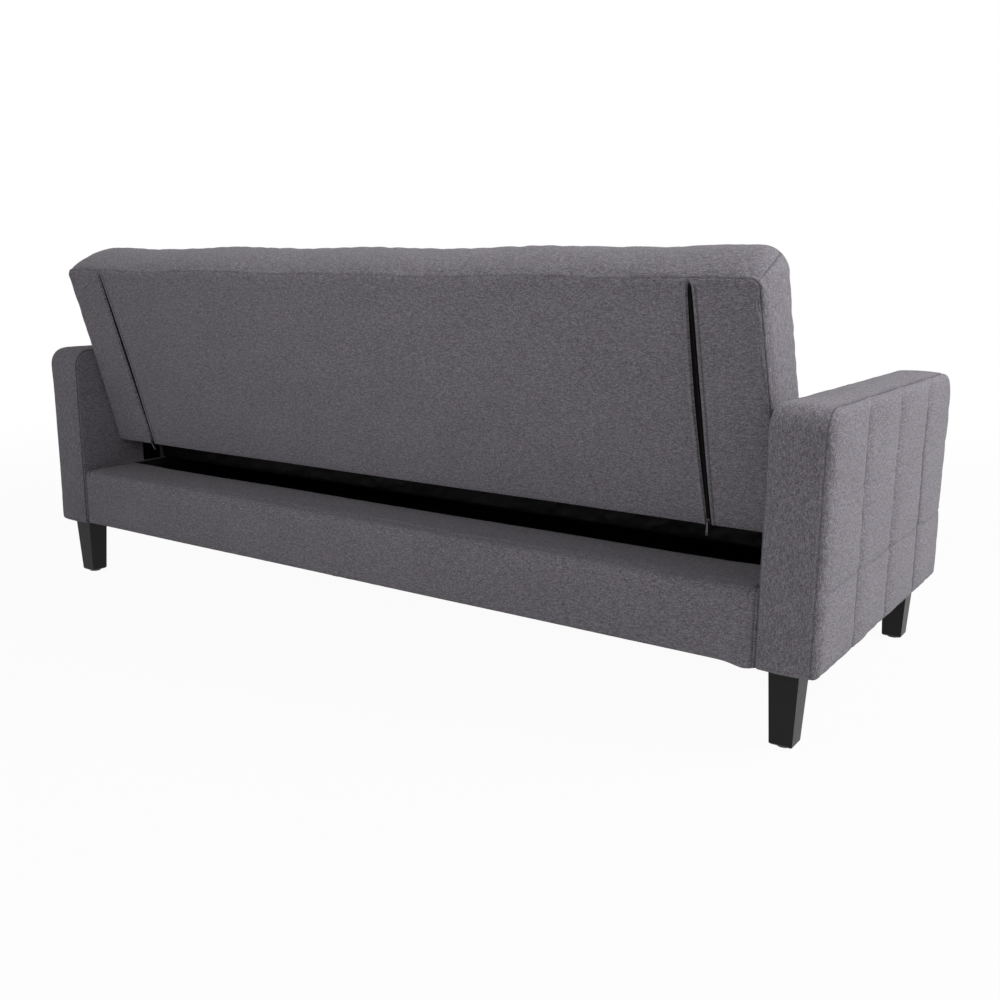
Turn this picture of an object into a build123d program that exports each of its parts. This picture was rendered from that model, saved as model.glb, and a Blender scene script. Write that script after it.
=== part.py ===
"""Storage sofa bed: a quilted two-arm sofa whose back folds flat and whose seat lifts off a bedding box.

The origin lies on the floor under the middle of the sofa, +Z is up, +X is the sitter's left and
the sitter looks along -Y. All sizes are in millimetres. Left pieces are drawn on +X and mirrored.
"""

import math
import os

from build123d import *

os.makedirs("parts", exist_ok=True)

# Main outline
arm_span = 2100
arm_width = 100
arm_depth = 840
arm_top = 616
leg_height = 148
rail_top = 293

# Running clearances
pin_clearance = 0.05
bolt_clearance = 0.1
soft_clearance = 0.4
plate_clearance = 0.5

# How far a trimming outline runs past a face that it leaves alone
overrun = 20
trim_reach = 3 * overrun

# Arms
arm_rear_radius = 36
arm_front_radius = 62
arm_band_thickness = 12
arm_pad_edge = 8
arm_pad_crown = 12
arm_tuck_crown = 17
arm_columns = 4
arm_rows = 3
arm_member = 40
arm_post_count = 5
arm_lower_rail = 50

# Legs
leg_top_side = 56
leg_foot_side = 43
leg_foot_chamfer = 3
leg_from_outer = 55
leg_from_rear = 50
leg_from_front = 62
leg_plate_thickness = 3
leg_plate_side = 66
glide_radius = 14
glide_thickness = 4
glide_stud_radius = 3
glide_stud_length = 16
leg_bolt_radius = 4
leg_bolt_in_leg = 45
leg_bolt_in_frame = 38

# Bedding box
box_play = 2
rail_inset = 4
rail_bottom_gap = 2
rail_padding = 12
rail_cover_radius = 14
ledge_depth = 168
ledge_lip = 34
lip_thickness = 3
board_thickness = 18
batten_thickness = 16
batten_width = 44
batten_count = 5
floor_thickness = 6
arm_bolt_radius = 4
arm_bolt_head_radius = 7
arm_bolt_head_length = 5
arm_bolt_depth = 34
arm_bolt_height = 235
rest_pad_radius = 8
rest_pad_places = (-330, 60)

# Shared hinge line of the seat and the back
hinge_from_rear = 232
hinge_height = 425
hinge_plate_thickness = 4
hinge_plate_width = 56
hinge_plate_eye = 24
hinge_plate_foot_gap = 3
hinge_pin_radius = 6
hinge_collar_radius = 10
hinge_head_length = 4
hinge_eye_radius = 18
hinge_seat_plate_from_arm = 16
hinge_washer_thickness = 1.2
hinge_pocket_radius = 49
hinge_pocket_depth = 40
hinge_strip_width = 20
screw_radius = 2.5
screw_head_radius = 5
screw_head_length = 2
screw_length = 26

# Seat
seat_front_overhang = 20
seat_underside_gap = 5
seat_hinge_gap = 3
cushion_end_gap = 5
cushion_edge = 25
cushion_wall = 8
cushion_columns = 9
cushion_rows = 3
cushion_crown = 12
channel_crown = 16
end_draw_in = 4
seat_rear_radius = 60
seat_front_radius = 46
seat_lower_radius = 8
seat_rail_height = 60
seat_rail_thickness = 30
seat_end_rail_thickness = 40
slat_thickness = 10
slat_width = 60
slat_count = 9
lining_thickness = 1
lining_rise = 88
seat_arm_reach = 108
seat_arm_foot = 40
seat_arm_drop = 20

# Back
back_tilt = 17
back_thickness = 150
back_rear_height = 455
back_front_rise = 17
back_top_crown = 8
back_front_corner = 30
back_foot_corner = 8
back_taper = 17
back_top_corner = 55
back_top_margin = 8
back_end_draw_in = 7
back_cavity_rear = 105
back_frame_front = 60
back_frame_thickness = 45
back_stile_from_end = 95
back_stile_width = 40
back_rail_width = 44
back_block_height = 200
back_arm_rise = 190
back_arm_screw_shares = (0.35, 0.55, 0.75)
panel_thickness = 4
panel_margin = 6

# Zips on the rear face of the back
zip_from_end = 145
zip_gap = 10
zip_tape_width = 26
zip_tape_thickness = 1
zip_coil_width = 6
zip_coil_height = 2.4
zip_play = 0.3
slider_width = 8.6
slider_length = 13
slider_height = 4.5
slider_foot = 4
slider_ear_width = 1.6
slider_ear_height = 3.6
pull_length = 26
pull_width = 4.6
pull_thickness = 1.4
pull_pin_radius = 0.9

# Positions worked out from the sizes above
half_span = arm_span / 2
arm_inner = half_span - arm_width
arm_rear = arm_depth / 2
arm_front = -arm_depth / 2
frame_inner = arm_inner + arm_pad_edge
frame_outer = half_span - arm_pad_edge
frame_depth = arm_depth - 2 * arm_band_thickness
post_pitch = (frame_depth - arm_member) / (arm_post_count - 1)
post_places = [(i - (arm_post_count - 1) / 2) * post_pitch for i in range(arm_post_count)]
hinge_post = post_places[-2]

leg_x = half_span - leg_from_outer
leg_places = {
    "front": arm_front + leg_from_front,
    "rear": arm_rear - leg_from_rear,
}
leg_points = [(side * leg_x, y) for side in (-1, 1) for y in leg_places.values()]
leg_top = leg_height - leg_plate_thickness

box_half = arm_inner - box_play
rail_bottom = leg_height + rail_bottom_gap
rear_cover_face = arm_rear - rail_inset
rear_board_back = rear_cover_face - rail_padding
rear_board_front = rear_board_back - board_thickness
ledge_front = rear_cover_face - ledge_depth
front_cover_face = arm_front + rail_inset
front_board_front = front_cover_face + rail_padding
front_board_back = front_board_front + board_thickness
board_top = rail_top - rail_padding
inner_board_front = ledge_front + lip_thickness
batten_top = rail_bottom + batten_thickness
floor_top = batten_top + floor_thickness

hinge_y = arm_rear - hinge_from_rear
plate_face = arm_inner - hinge_plate_thickness
seat_plate_outer = arm_inner - hinge_seat_plate_from_arm
seat_plate_inner = seat_plate_outer - hinge_plate_thickness
back_plate_outer = seat_plate_inner - hinge_washer_thickness - 2 * plate_clearance
back_plate_inner = back_plate_outer - hinge_plate_thickness
cushion_half = arm_inner - cushion_end_gap

seat_bottom = rail_top + seat_underside_gap
seat_top = hinge_height + cushion_edge
seat_rear = hinge_y - cushion_edge - seat_hinge_gap
seat_front = arm_front - seat_front_overhang
seat_rail_top = seat_bottom + seat_rail_height
seat_slat_top = seat_rail_top + slat_thickness
seat_cavity_half = cushion_half - cushion_wall
seat_cavity_rear = seat_rear - cushion_wall
seat_cavity_front = seat_front + cushion_wall
foam_half = cushion_half - hinge_pocket_depth - cushion_wall

tilt = math.radians(back_tilt)
back_up = (0, math.sin(tilt), math.cos(tilt))
back_rearward = (0, math.cos(tilt), -math.sin(tilt))
hinge_point = (0, hinge_y, hinge_height)
back_side = Plane(origin=hinge_point, x_dir=back_rearward, z_dir=(1, 0, 0))
back_across = Plane(origin=hinge_point, x_dir=(1, 0, 0), z_dir=back_up)
back_facing = Plane(origin=hinge_point, x_dir=(1, 0, 0), z_dir=(0, -back_rearward[1], -back_rearward[2]))
back_front = -cushion_edge
back_rear = back_thickness - cushion_edge
back_foot = -cushion_edge
back_front_height = back_rear_height + back_front_rise
panel_front = back_rear - panel_thickness
back_frame_rear = back_frame_front + back_frame_thickness
back_cavity_foot = back_foot + cushion_wall
back_cavity_top = back_rear_height - cushion_wall
back_stile_inner = cushion_half - back_stile_from_end
back_stile_outer = back_stile_inner + back_stile_width
back_cavity_half = back_plate_outer + screw_head_length + plate_clearance

zip_from_middle = cushion_half - zip_from_end
tape_front = panel_front - zip_tape_thickness - zip_play
coil_rear = tape_front + zip_tape_thickness + zip_coil_height
slider_front = coil_rear + zip_play
slider_rear = slider_front + slider_height
slider_low = back_foot + slider_foot
slider_middle = slider_low + slider_length / 2
pull_pivot_depth = slider_rear + slider_ear_height / 2


def keep(piece, name):
    """Label a finished piece and write it as one node."""
    piece.label = name
    export_step(piece, f"parts/{name}.step")


def keep_pair(piece, name):
    """Write a left piece and its mirror image on the right."""
    keep(piece, f"left_{name}")
    keep(mirror(piece, about=Plane.YZ), f"right_{name}")


def middle(span):
    """The middle of a span given as (low, high)."""
    return (span[0] + span[1]) / 2


def length(span):
    """The length of a span given as (low, high)."""
    return span[1] - span[0]


def block(x_span, y_span, z_span):
    """Extrude an upright block between the given spans into the open part."""
    with BuildSketch(Plane.XY.offset(z_span[0])) as footprint:
        with Locations((middle(x_span), middle(y_span))):
            Rectangle(length(x_span), length(y_span))
    extrude(footprint.sketch, amount=length(z_span))


def back_block(x_span, depth_span, height_span, mode=Mode.ADD):
    """Extrude a block square to the tilted back: depth is counted rearward, height up the back."""
    with BuildSketch(back_across.offset(height_span[0])) as footprint:
        with Locations((middle(x_span), middle(depth_span))):
            Rectangle(length(x_span), length(depth_span))
    extrude(footprint.sketch, amount=length(height_span), mode=mode)


def cross_rod(radius, x_span, points, plane=Plane.YZ, mode=Mode.ADD):
    """Extrude round rods that run along X through the given points of the plane."""
    with BuildSketch(plane.offset(x_span[0])) as discs:
        with Locations(*points):
            Circle(radius)
    extrude(discs.sketch, amount=length(x_span), mode=mode)


def upright_rod(radius, z_span, points, mode=Mode.ADD):
    """Extrude upright round rods at the given points of the plan."""
    with BuildSketch(Plane.XY.offset(z_span[0])) as discs:
        with Locations(*points):
            Circle(radius)
    extrude(discs.sketch, amount=length(z_span), mode=mode)


def arc_row(start, end, count, crown):
    """Draw a row of shallow arcs from start to end that bulge to the left of that direction."""
    run = Vector(*end) - Vector(*start)
    bulge = Vector(-run.Y, run.X).normalized() * crown
    for i in range(count):
        first = Vector(*start) + run * (i / count)
        last = Vector(*start) + run * ((i + 1) / count)
        ThreePointArc(first, (first + last) * 0.5 + bulge, last)


def corner_arc(start, end, centre):
    """Draw the quarter round from start to end about a centre."""
    towards = (Vector(*start) - Vector(*centre)) + (Vector(*end) - Vector(*centre))
    radius = (Vector(*start) - Vector(*centre)).length
    ThreePointArc(start, Vector(*centre) + towards.normalized() * radius, end)


def arm_outline(x, inset):
    """The arm's side outline at x, drawn in by an inset at the rear, top and front."""
    rear = arm_rear - inset
    front = arm_front + inset
    top = arm_top - inset
    radii = [0, arm_rear_radius - inset, arm_front_radius - inset, 0]
    with BuildSketch(Plane.YZ.offset(x)) as outline:
        with BuildLine():
            FilletPolyline(
                (rear, leg_height),
                (rear, top),
                (front, top),
                (front, leg_height),
                radius=radii,
                close=True,
            )
        make_face()
    return outline.sketch


def arm_bolt_points():
    """Bolt places on the arm posts, as (y, z), where the box is fixed to the arm."""
    return [(y, arm_bolt_height) for y in post_places[1:-1]]


def hinge_screw_points():
    """Screw places on the hinge plate, as (y, z)."""
    low = rail_top + hinge_plate_width / 2
    high = hinge_height - hinge_plate_width
    reach = arm_member / 4
    return [(hinge_post + dy, z) for dy in (-reach, reach) for z in (low, high)]


def make_arms():
    """Frame, band and padded panels of the arms."""
    with BuildPart() as frame:
        extrude(arm_outline(frame_inner, arm_band_thickness), amount=frame_outer - frame_inner)
        window = (leg_height + arm_lower_rail, arm_top - arm_band_thickness - arm_member)
        with BuildSketch(Plane.YZ.offset(frame_inner)):
            with Locations((0, middle(window))):
                with GridLocations(post_pitch, 1, arm_post_count - 1, 1):
                    Rectangle(post_pitch - arm_member, length(window))
        extrude(amount=frame_outer - frame_inner, mode=Mode.SUBTRACT)
        bolt_bore = arm_bolt_radius + bolt_clearance
        bolt_reach = (frame_inner, frame_inner + arm_bolt_depth)
        cross_rod(bolt_bore, bolt_reach, arm_bolt_points(), mode=Mode.SUBTRACT)
        screw_bore = screw_radius + bolt_clearance
        screw_reach = (frame_inner, plate_face + screw_length)
        cross_rod(screw_bore, screw_reach, hinge_screw_points(), mode=Mode.SUBTRACT)
        leg_bore = leg_bolt_radius + bolt_clearance
        leg_reach = (leg_height, leg_height + leg_bolt_in_frame)
        upright_rod(leg_bore, leg_reach, leg_points, mode=Mode.SUBTRACT)
    keep_pair(frame.part, "arm_frame")

    with BuildPart() as band:
        band_width = frame_outer - frame_inner
        extrude(arm_outline(frame_inner, 0), amount=band_width)
        extrude(arm_outline(frame_inner, arm_band_thickness), amount=band_width, mode=Mode.SUBTRACT)
    keep_pair(band.part, "arm_band")

    with BuildPart() as inner_pad:
        extrude(arm_outline(arm_inner, 0), amount=arm_pad_edge)
        face = inner_pad.faces().sort_by(Axis.X)[0]
        rim = face.edges().filter_by(lambda edge: edge.center().Z > leg_height + 1)
        chamfer(rim, arm_pad_edge / 2)
        cross_rod(bolt_bore, (arm_inner, frame_inner), arm_bolt_points(), mode=Mode.SUBTRACT)
        cross_rod(screw_bore, (arm_inner, frame_inner), hinge_screw_points(), mode=Mode.SUBTRACT)
    keep_pair(inner_pad.part, "arm_inner_pad")

    pad_reach = half_span + arm_pad_crown + arm_tuck_crown
    with BuildPart() as outer_pad:
        extrude(arm_outline(frame_outer, 0), amount=pad_reach - frame_outer)
        with BuildSketch(Plane.XY.offset(leg_height)):
            with BuildLine():
                arc_row((half_span, arm_rear), (half_span, arm_front), arm_columns, arm_pad_crown)
                Polyline(
                    (half_span, arm_front),
                    (frame_outer, arm_front),
                    (frame_outer, arm_rear),
                    (half_span, arm_rear),
                )
            make_face()
        extrude(amount=arm_top - leg_height, mode=Mode.INTERSECT)
        with BuildSketch(Plane.XZ.offset(arm_front)):
            with BuildLine():
                arc_row((half_span, arm_top), (half_span, leg_height), arm_rows, arm_tuck_crown)
                Polyline(
                    (half_span, leg_height),
                    (frame_outer, leg_height),
                    (frame_outer, arm_top),
                    (half_span, arm_top),
                )
            make_face()
        extrude(amount=arm_depth, mode=Mode.INTERSECT)
    keep_pair(outer_pad.part, "arm_outer_pad")


def make_legs():
    """Tapered legs with their plates, hanger bolts and glides."""
    stud_reach = (glide_thickness, glide_thickness + glide_stud_length)
    bolt_reach = (leg_top - leg_bolt_in_leg, leg_height + leg_bolt_in_frame)
    for side_name, side in (("right", -1), ("left", 1)):
        for end_name, y in leg_places.items():
            with BuildPart() as leg:
                with BuildSketch(Plane.XY.offset(glide_thickness)):
                    with Locations((side * leg_x, y)):
                        Rectangle(leg_foot_side, leg_foot_side)
                with BuildSketch(Plane.XY.offset(leg_top)):
                    with Locations((side * leg_x, y)):
                        Rectangle(leg_top_side, leg_top_side)
                loft()
                foot = leg.faces().sort_by(Axis.Z)[0]
                chamfer(foot.edges(), leg_foot_chamfer)
                stud_bore = glide_stud_radius + pin_clearance
                upright_rod(stud_bore, stud_reach, [(side * leg_x, y)], mode=Mode.SUBTRACT)
                bolt_bore = leg_bolt_radius + bolt_clearance
                upright_rod(bolt_bore, bolt_reach, [(side * leg_x, y)], mode=Mode.SUBTRACT)
            keep(leg.part, f"{end_name}_{side_name}_leg")

    with BuildPart() as glides:
        upright_rod(glide_radius, (0, glide_thickness), leg_points)
        upright_rod(glide_stud_radius, stud_reach, leg_points)
    keep(glides.part, "leg_glides")

    with BuildPart() as plates:
        with BuildSketch(Plane.XY.offset(leg_top)):
            with Locations(*leg_points):
                Rectangle(leg_plate_side, leg_plate_side)
                Circle(leg_bolt_radius + bolt_clearance, mode=Mode.SUBTRACT)
        extrude(amount=leg_plate_thickness)
    keep(plates.part, "leg_plates")

    with BuildPart() as bolts:
        upright_rod(leg_bolt_radius, bolt_reach, leg_points)
    keep(bolts.part, "leg_bolts")


def make_box():
    """Boards, padded rail covers and floor of the bedding box between the arms."""
    across = (-box_half, box_half)
    with BuildPart() as rear_board:
        block(across, (rear_board_front, rear_board_back), (rail_bottom, board_top))
    keep(rear_board.part, "rear_rail_board")

    with BuildPart() as ledge_board:
        block(across, (inner_board_front, rear_board_front), (board_top - board_thickness, board_top))
    keep(ledge_board.part, "rear_ledge_board")

    with BuildPart() as inner_board:
        y_span = (inner_board_front, inner_board_front + board_thickness)
        block(across, y_span, (floor_top, board_top - board_thickness))
    keep(inner_board.part, "rear_inner_board")

    with BuildPart() as rear_cover:
        with BuildSketch(Plane.YZ.offset(-box_half)):
            with BuildLine():
                FilletPolyline(
                    (rear_board_back, rail_bottom),
                    (rear_cover_face, rail_bottom),
                    (rear_cover_face, rail_top),
                    (ledge_front, rail_top),
                    (ledge_front, rail_top - ledge_lip),
                    (inner_board_front, rail_top - ledge_lip),
                    (inner_board_front, board_top),
                    (rear_board_back, board_top),
                    radius=[0, 0, rail_cover_radius, rail_padding - 1, 0, 0, 0, 0],
                    close=True,
                )
            make_face()
        extrude(amount=2 * box_half)
    keep(rear_cover.part, "rear_rail_cover")

    with BuildPart() as front_board:
        block(across, (front_board_front, front_board_back), (rail_bottom, board_top))
    keep(front_board.part, "front_rail_board")

    with BuildPart() as front_cover:
        with BuildSketch(Plane.YZ.offset(-box_half)):
            with BuildLine():
                FilletPolyline(
                    (front_cover_face, rail_bottom),
                    (front_board_front, rail_bottom),
                    (front_board_front, board_top),
                    (front_board_back, board_top),
                    (front_board_back, rail_top),
                    (front_cover_face, rail_top),
                    radius=[0, 0, 0, 0, 0, rail_cover_radius / 2],
                    close=True,
                )
            make_face()
        extrude(amount=2 * box_half)
    keep(front_cover.part, "front_rail_cover")

    with BuildPart() as side_board:
        x_span = (box_half - board_thickness, box_half)
        block(x_span, (front_board_back, ledge_front), (floor_top, rail_top))
        bore = arm_bolt_radius + bolt_clearance
        cross_rod(bore, x_span, arm_bolt_points(), mode=Mode.SUBTRACT)
    keep_pair(side_board.part, "side_board")

    with BuildPart() as floor:
        block(across, (front_board_back, rear_board_front), (batten_top, floor_top))
    keep(floor.part, "storage_floor")

    with BuildPart() as battens:
        pitch = (2 * box_half - batten_width) / (batten_count - 1)
        with BuildSketch(Plane.XY.offset(rail_bottom)):
            with Locations((0, middle((front_board_back, rear_board_front)))):
                with GridLocations(pitch, 1, batten_count, 1):
                    Rectangle(batten_width, rear_board_front - front_board_back)
        extrude(amount=batten_thickness)
    keep(battens.part, "floor_battens")

    with BuildPart() as bolts:
        head_outer = box_half - board_thickness
        cross_rod(arm_bolt_head_radius, (head_outer - arm_bolt_head_length, head_outer), arm_bolt_points())
        cross_rod(arm_bolt_radius, (head_outer, frame_inner + arm_bolt_depth), arm_bolt_points())
        mirror(about=Plane.YZ)
    keep(bolts.part, "arm_bolts")

    with BuildPart() as rests:
        rest_x = box_half - board_thickness / 2
        rest_top = seat_bottom - lining_thickness - soft_clearance
        rest_points = [(side * rest_x, y) for side in (-1, 1) for y in rest_pad_places]
        upright_rod(rest_pad_radius, (rail_top, rest_top), rest_points)
    keep(rests.part, "seat_rest_pads")


def make_hinges():
    """Plates, pins and washers of the hinges, and the screws that hold the plates to the arms."""
    pivot = [(hinge_y, hinge_height)]
    with BuildPart() as plate:
        with BuildSketch(Plane.YZ.offset(plate_face)):
            foot = rail_top + hinge_plate_foot_gap
            with Locations((hinge_post, middle((foot, hinge_height)))):
                Rectangle(hinge_plate_width, hinge_height - foot)
            with Locations(*pivot):
                Circle(hinge_plate_eye)
                Circle(hinge_pin_radius + pin_clearance, mode=Mode.SUBTRACT)
        extrude(amount=hinge_plate_thickness)
        head_reach = (plate_face, plate_face + screw_head_length)
        head_bore = screw_head_radius + bolt_clearance
        shank_bore = screw_radius + bolt_clearance
        cross_rod(head_bore, head_reach, hinge_screw_points(), mode=Mode.SUBTRACT)
        cross_rod(shank_bore, (plate_face, arm_inner), hinge_screw_points(), mode=Mode.SUBTRACT)
    keep_pair(plate.part, "hinge_plate")

    with BuildPart() as pins:
        head_outer = back_plate_inner - plate_clearance
        cross_rod(hinge_collar_radius, (head_outer - hinge_head_length, head_outer), pivot)
        cross_rod(hinge_pin_radius, (head_outer, arm_inner), pivot)
        cross_rod(hinge_collar_radius, (seat_plate_outer + plate_clearance, plate_face), pivot)
        mirror(about=Plane.YZ)
    keep(pins.part, "hinge_pins")

    with BuildPart() as washers:
        washer_span = (back_plate_outer + plate_clearance, seat_plate_inner - plate_clearance)
        cross_rod(hinge_collar_radius, washer_span, pivot)
        cross_rod(hinge_pin_radius + pin_clearance, washer_span, pivot, mode=Mode.SUBTRACT)
        mirror(about=Plane.YZ)
    keep(washers.part, "hinge_washers")

    with BuildPart() as screws:
        cross_rod(screw_head_radius, (plate_face, plate_face + screw_head_length), hinge_screw_points())
        cross_rod(screw_radius, (plate_face, plate_face + screw_length), hinge_screw_points())
        mirror(about=Plane.YZ)
    keep(screws.part, "hinge_plate_screws")


def seat_outline(x, inset):
    """The seat's plain side outline at x, drawn in by an inset."""
    rear = seat_rear - inset
    front = seat_front + inset
    top = seat_top - inset
    radii = [0, seat_rear_radius - inset, seat_front_radius - inset, 0]
    with BuildSketch(Plane.YZ.offset(x)) as outline:
        with BuildLine():
            FilletPolyline(
                (rear, seat_bottom),
                (rear, top),
                (front, top),
                (front, seat_bottom),
                radius=radii,
                close=True,
            )
        make_face()
    return outline.sketch


def seat_arm_screw_points():
    """Screw places on the foot of the seat hinge arm, as (y, z)."""
    foot = hinge_y - seat_arm_reach + seat_arm_foot / 2
    low = seat_bottom + seat_rail_height / 4
    high = seat_rail_top - seat_rail_height / 4
    return [(foot, low), (foot, high)]


def hinge_pockets():
    """Cut the round pockets around the hinge line at both ends of the open cushion."""
    inner = cushion_half - hinge_pocket_depth
    pivot = [(hinge_y, hinge_height)]
    for x_span in ((inner, arm_inner), (-arm_inner, -inner)):
        cross_rod(hinge_pocket_radius, x_span, pivot, mode=Mode.SUBTRACT)


def make_seat():
    """Frame, slats, foam, quilted cover, lining and hinge arms of the seat."""
    rail_z = (seat_bottom, seat_rail_top)
    end_rail_inner = seat_plate_inner - seat_end_rail_thickness
    between = (-end_rail_inner, end_rail_inner)
    with BuildPart() as front_rail:
        block(between, (seat_cavity_front, seat_cavity_front + seat_rail_thickness), rail_z)
    keep(front_rail.part, "seat_front_rail")

    with BuildPart() as rear_rail:
        block(between, (seat_cavity_rear - seat_rail_thickness, seat_cavity_rear), rail_z)
    keep(rear_rail.part, "seat_rear_rail")

    with BuildPart() as end_rails:
        block((end_rail_inner, seat_plate_inner), (seat_cavity_front, seat_cavity_rear), rail_z)
        screw_reach = (seat_plate_outer - screw_length, seat_plate_inner)
        cross_rod(screw_radius + bolt_clearance, screw_reach, seat_arm_screw_points(), mode=Mode.SUBTRACT)
        mirror(about=Plane.YZ)
    keep(end_rails.part, "seat_end_rails")

    with BuildPart() as slats:
        pitch = (2 * end_rail_inner - slat_width) / (slat_count - 1)
        with BuildSketch(Plane.XY.offset(seat_rail_top)):
            with Locations((0, middle((seat_cavity_front, seat_cavity_rear)))):
                with GridLocations(pitch, 1, slat_count, 1):
                    Rectangle(slat_width, seat_cavity_rear - seat_cavity_front)
        extrude(amount=slat_thickness)
    keep(slats.part, "seat_slats")

    with BuildPart() as foam:
        extrude(seat_outline(-foam_half, cushion_wall + soft_clearance), amount=2 * foam_half)
        split(bisect_by=Plane.XY.offset(seat_slat_top), keep=Keep.TOP)
    keep(foam.part, "seat_foam")

    with BuildPart() as cover:
        with BuildSketch(Plane.YZ.offset(-cushion_half)):
            rear_start = seat_top - seat_rear_radius
            front_start = seat_top - seat_front_radius
            top_rear = seat_rear - seat_rear_radius
            top_front = seat_front + seat_front_radius
            with BuildLine():
                Line((seat_rear, seat_bottom + seat_lower_radius), (seat_rear, rear_start))
                corner_arc((seat_rear, rear_start), (top_rear, seat_top), (top_rear, rear_start))
                arc_row((top_front, seat_top), (top_rear, seat_top), cushion_rows, cushion_crown)
                corner_arc((top_front, seat_top), (seat_front, front_start), (top_front, front_start))
                Polyline(
                    (seat_front, front_start),
                    (seat_front, seat_bottom),
                    (seat_rear - seat_lower_radius, seat_bottom),
                    (seat_rear, seat_bottom + seat_lower_radius),
                )
            make_face()
        extrude(amount=2 * cushion_half)
        below = seat_bottom - overrun
        with BuildSketch(Plane.XZ.offset(-seat_rear - overrun)):
            with BuildLine():
                arc_row((-cushion_half, seat_top), (cushion_half, seat_top), cushion_columns, channel_crown)
                Polyline(
                    (cushion_half, seat_top),
                    (cushion_half, below),
                    (-cushion_half, below),
                    (-cushion_half, seat_top),
                )
            make_face()
        extrude(amount=seat_rear - seat_front + 2 * overrun, mode=Mode.INTERSECT)
        corner_x = cushion_half - end_draw_in
        ahead = seat_front - overrun
        behind = seat_rear + overrun
        with BuildSketch(Plane.XY.offset(below)):
            with BuildLine():
                arc_row((corner_x, ahead), (corner_x, behind), 1, -end_draw_in)
                arc_row((-corner_x, behind), (-corner_x, ahead), 1, -end_draw_in)
                Line((corner_x, ahead), (-corner_x, ahead))
                Line((-corner_x, behind), (corner_x, behind))
            make_face()
        extrude(amount=seat_top - seat_bottom + trim_reach, mode=Mode.INTERSECT)
        hollow = seat_outline(-seat_cavity_half, cushion_wall)
        extrude(hollow, amount=2 * seat_cavity_half, mode=Mode.SUBTRACT)
        hinge_pockets()
    keep(cover.part, "seat_cover")

    with BuildPart() as lining:
        with BuildSketch(Plane.YZ.offset(-seat_cavity_half)):
            with BuildLine():
                Polyline(
                    (seat_cavity_front, seat_bottom),
                    (seat_rear - seat_lower_radius, seat_bottom),
                    (seat_rear, seat_bottom + seat_lower_radius),
                    (seat_rear, seat_bottom + lining_rise),
                    (seat_rear + lining_thickness, seat_bottom + lining_rise),
                    (seat_rear + lining_thickness, seat_bottom + seat_lower_radius),
                    (seat_rear - seat_lower_radius, seat_bottom - lining_thickness),
                    (seat_cavity_front, seat_bottom - lining_thickness),
                    close=True,
                )
            make_face()
        extrude(amount=2 * seat_cavity_half)
    keep(lining.part, "seat_lining")

    with BuildPart() as hinge_arm:
        strip_middle = hinge_height - seat_arm_drop
        strip_low = strip_middle - hinge_strip_width / 2
        foot_front = hinge_y - seat_arm_reach
        with BuildSketch(Plane.YZ.offset(seat_plate_inner)):
            with Locations((middle((foot_front, hinge_y)), strip_middle)):
                Rectangle(seat_arm_reach, hinge_strip_width)
            with Locations((foot_front + seat_arm_foot / 2, middle((seat_bottom, strip_low)))):
                Rectangle(seat_arm_foot, strip_low - seat_bottom)
            with Locations((hinge_y, hinge_height)):
                Circle(hinge_eye_radius)
                Circle(hinge_pin_radius + pin_clearance, mode=Mode.SUBTRACT)
        extrude(amount=hinge_plate_thickness)
        plate_span = (seat_plate_inner, seat_plate_outer)
        cross_rod(screw_radius + bolt_clearance, plate_span, seat_arm_screw_points(), mode=Mode.SUBTRACT)
    keep_pair(hinge_arm.part, "seat_hinge_arm")

    with BuildPart() as screws:
        shank_span = (seat_plate_outer - screw_length, seat_plate_outer)
        cross_rod(screw_radius, shank_span, seat_arm_screw_points())
        head_span = (seat_plate_outer, seat_plate_outer + screw_head_length)
        cross_rod(screw_head_radius, head_span, seat_arm_screw_points())
        mirror(about=Plane.YZ)
    keep(screws.part, "seat_hinge_screws")


def back_outline(inset):
    """The back's outline seen square to its face, from behind its rear plane, drawn in by an inset."""
    foot_x = cushion_half - inset
    top_x = cushion_half - back_taper - inset
    top = back_front_height + back_top_margin - inset
    radius = back_top_corner - inset
    with BuildSketch(back_facing.offset(-back_rear - overrun)) as outline:
        with BuildLine():
            FilletPolyline(
                (foot_x, back_foot - overrun),
                (top_x, top),
                (-top_x, top),
                (-foot_x, back_foot - overrun),
                radius=[0, radius, radius, 0],
                close=True,
            )
        make_face()
    return outline.sketch


def back_profile():
    """The back's crowned side outline at its right end: depth rearward against height up the back."""
    heel = (back_rear - back_foot_corner, back_foot + back_foot_corner)
    top_front = (back_front + back_front_corner, back_front_height)
    shoulder = (back_front, back_front_height - back_front_corner)
    with BuildSketch(back_side.offset(-cushion_half)) as profile:
        with BuildLine():
            Line((0, back_foot), (heel[0], back_foot))
            corner_arc((heel[0], back_foot), (back_rear, heel[1]), heel)
            Line((back_rear, heel[1]), (back_rear, back_rear_height))
            arc_row(top_front, (back_rear, back_rear_height), 1, back_top_crown)
            corner_arc(top_front, shoulder, (top_front[0], shoulder[1]))
            arc_row((back_front, 0), shoulder, cushion_rows, cushion_crown)
            corner_arc((back_front, 0), (0, back_foot), (0, 0))
        make_face()
    return profile.sketch


def back_arm_screw_points():
    """Screw places on the upright of the back hinge arm, as (depth, height)."""
    depth = middle((back_frame_front, back_frame_rear))
    return [(depth, back_arm_rise * share) for share in back_arm_screw_shares]


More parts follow.
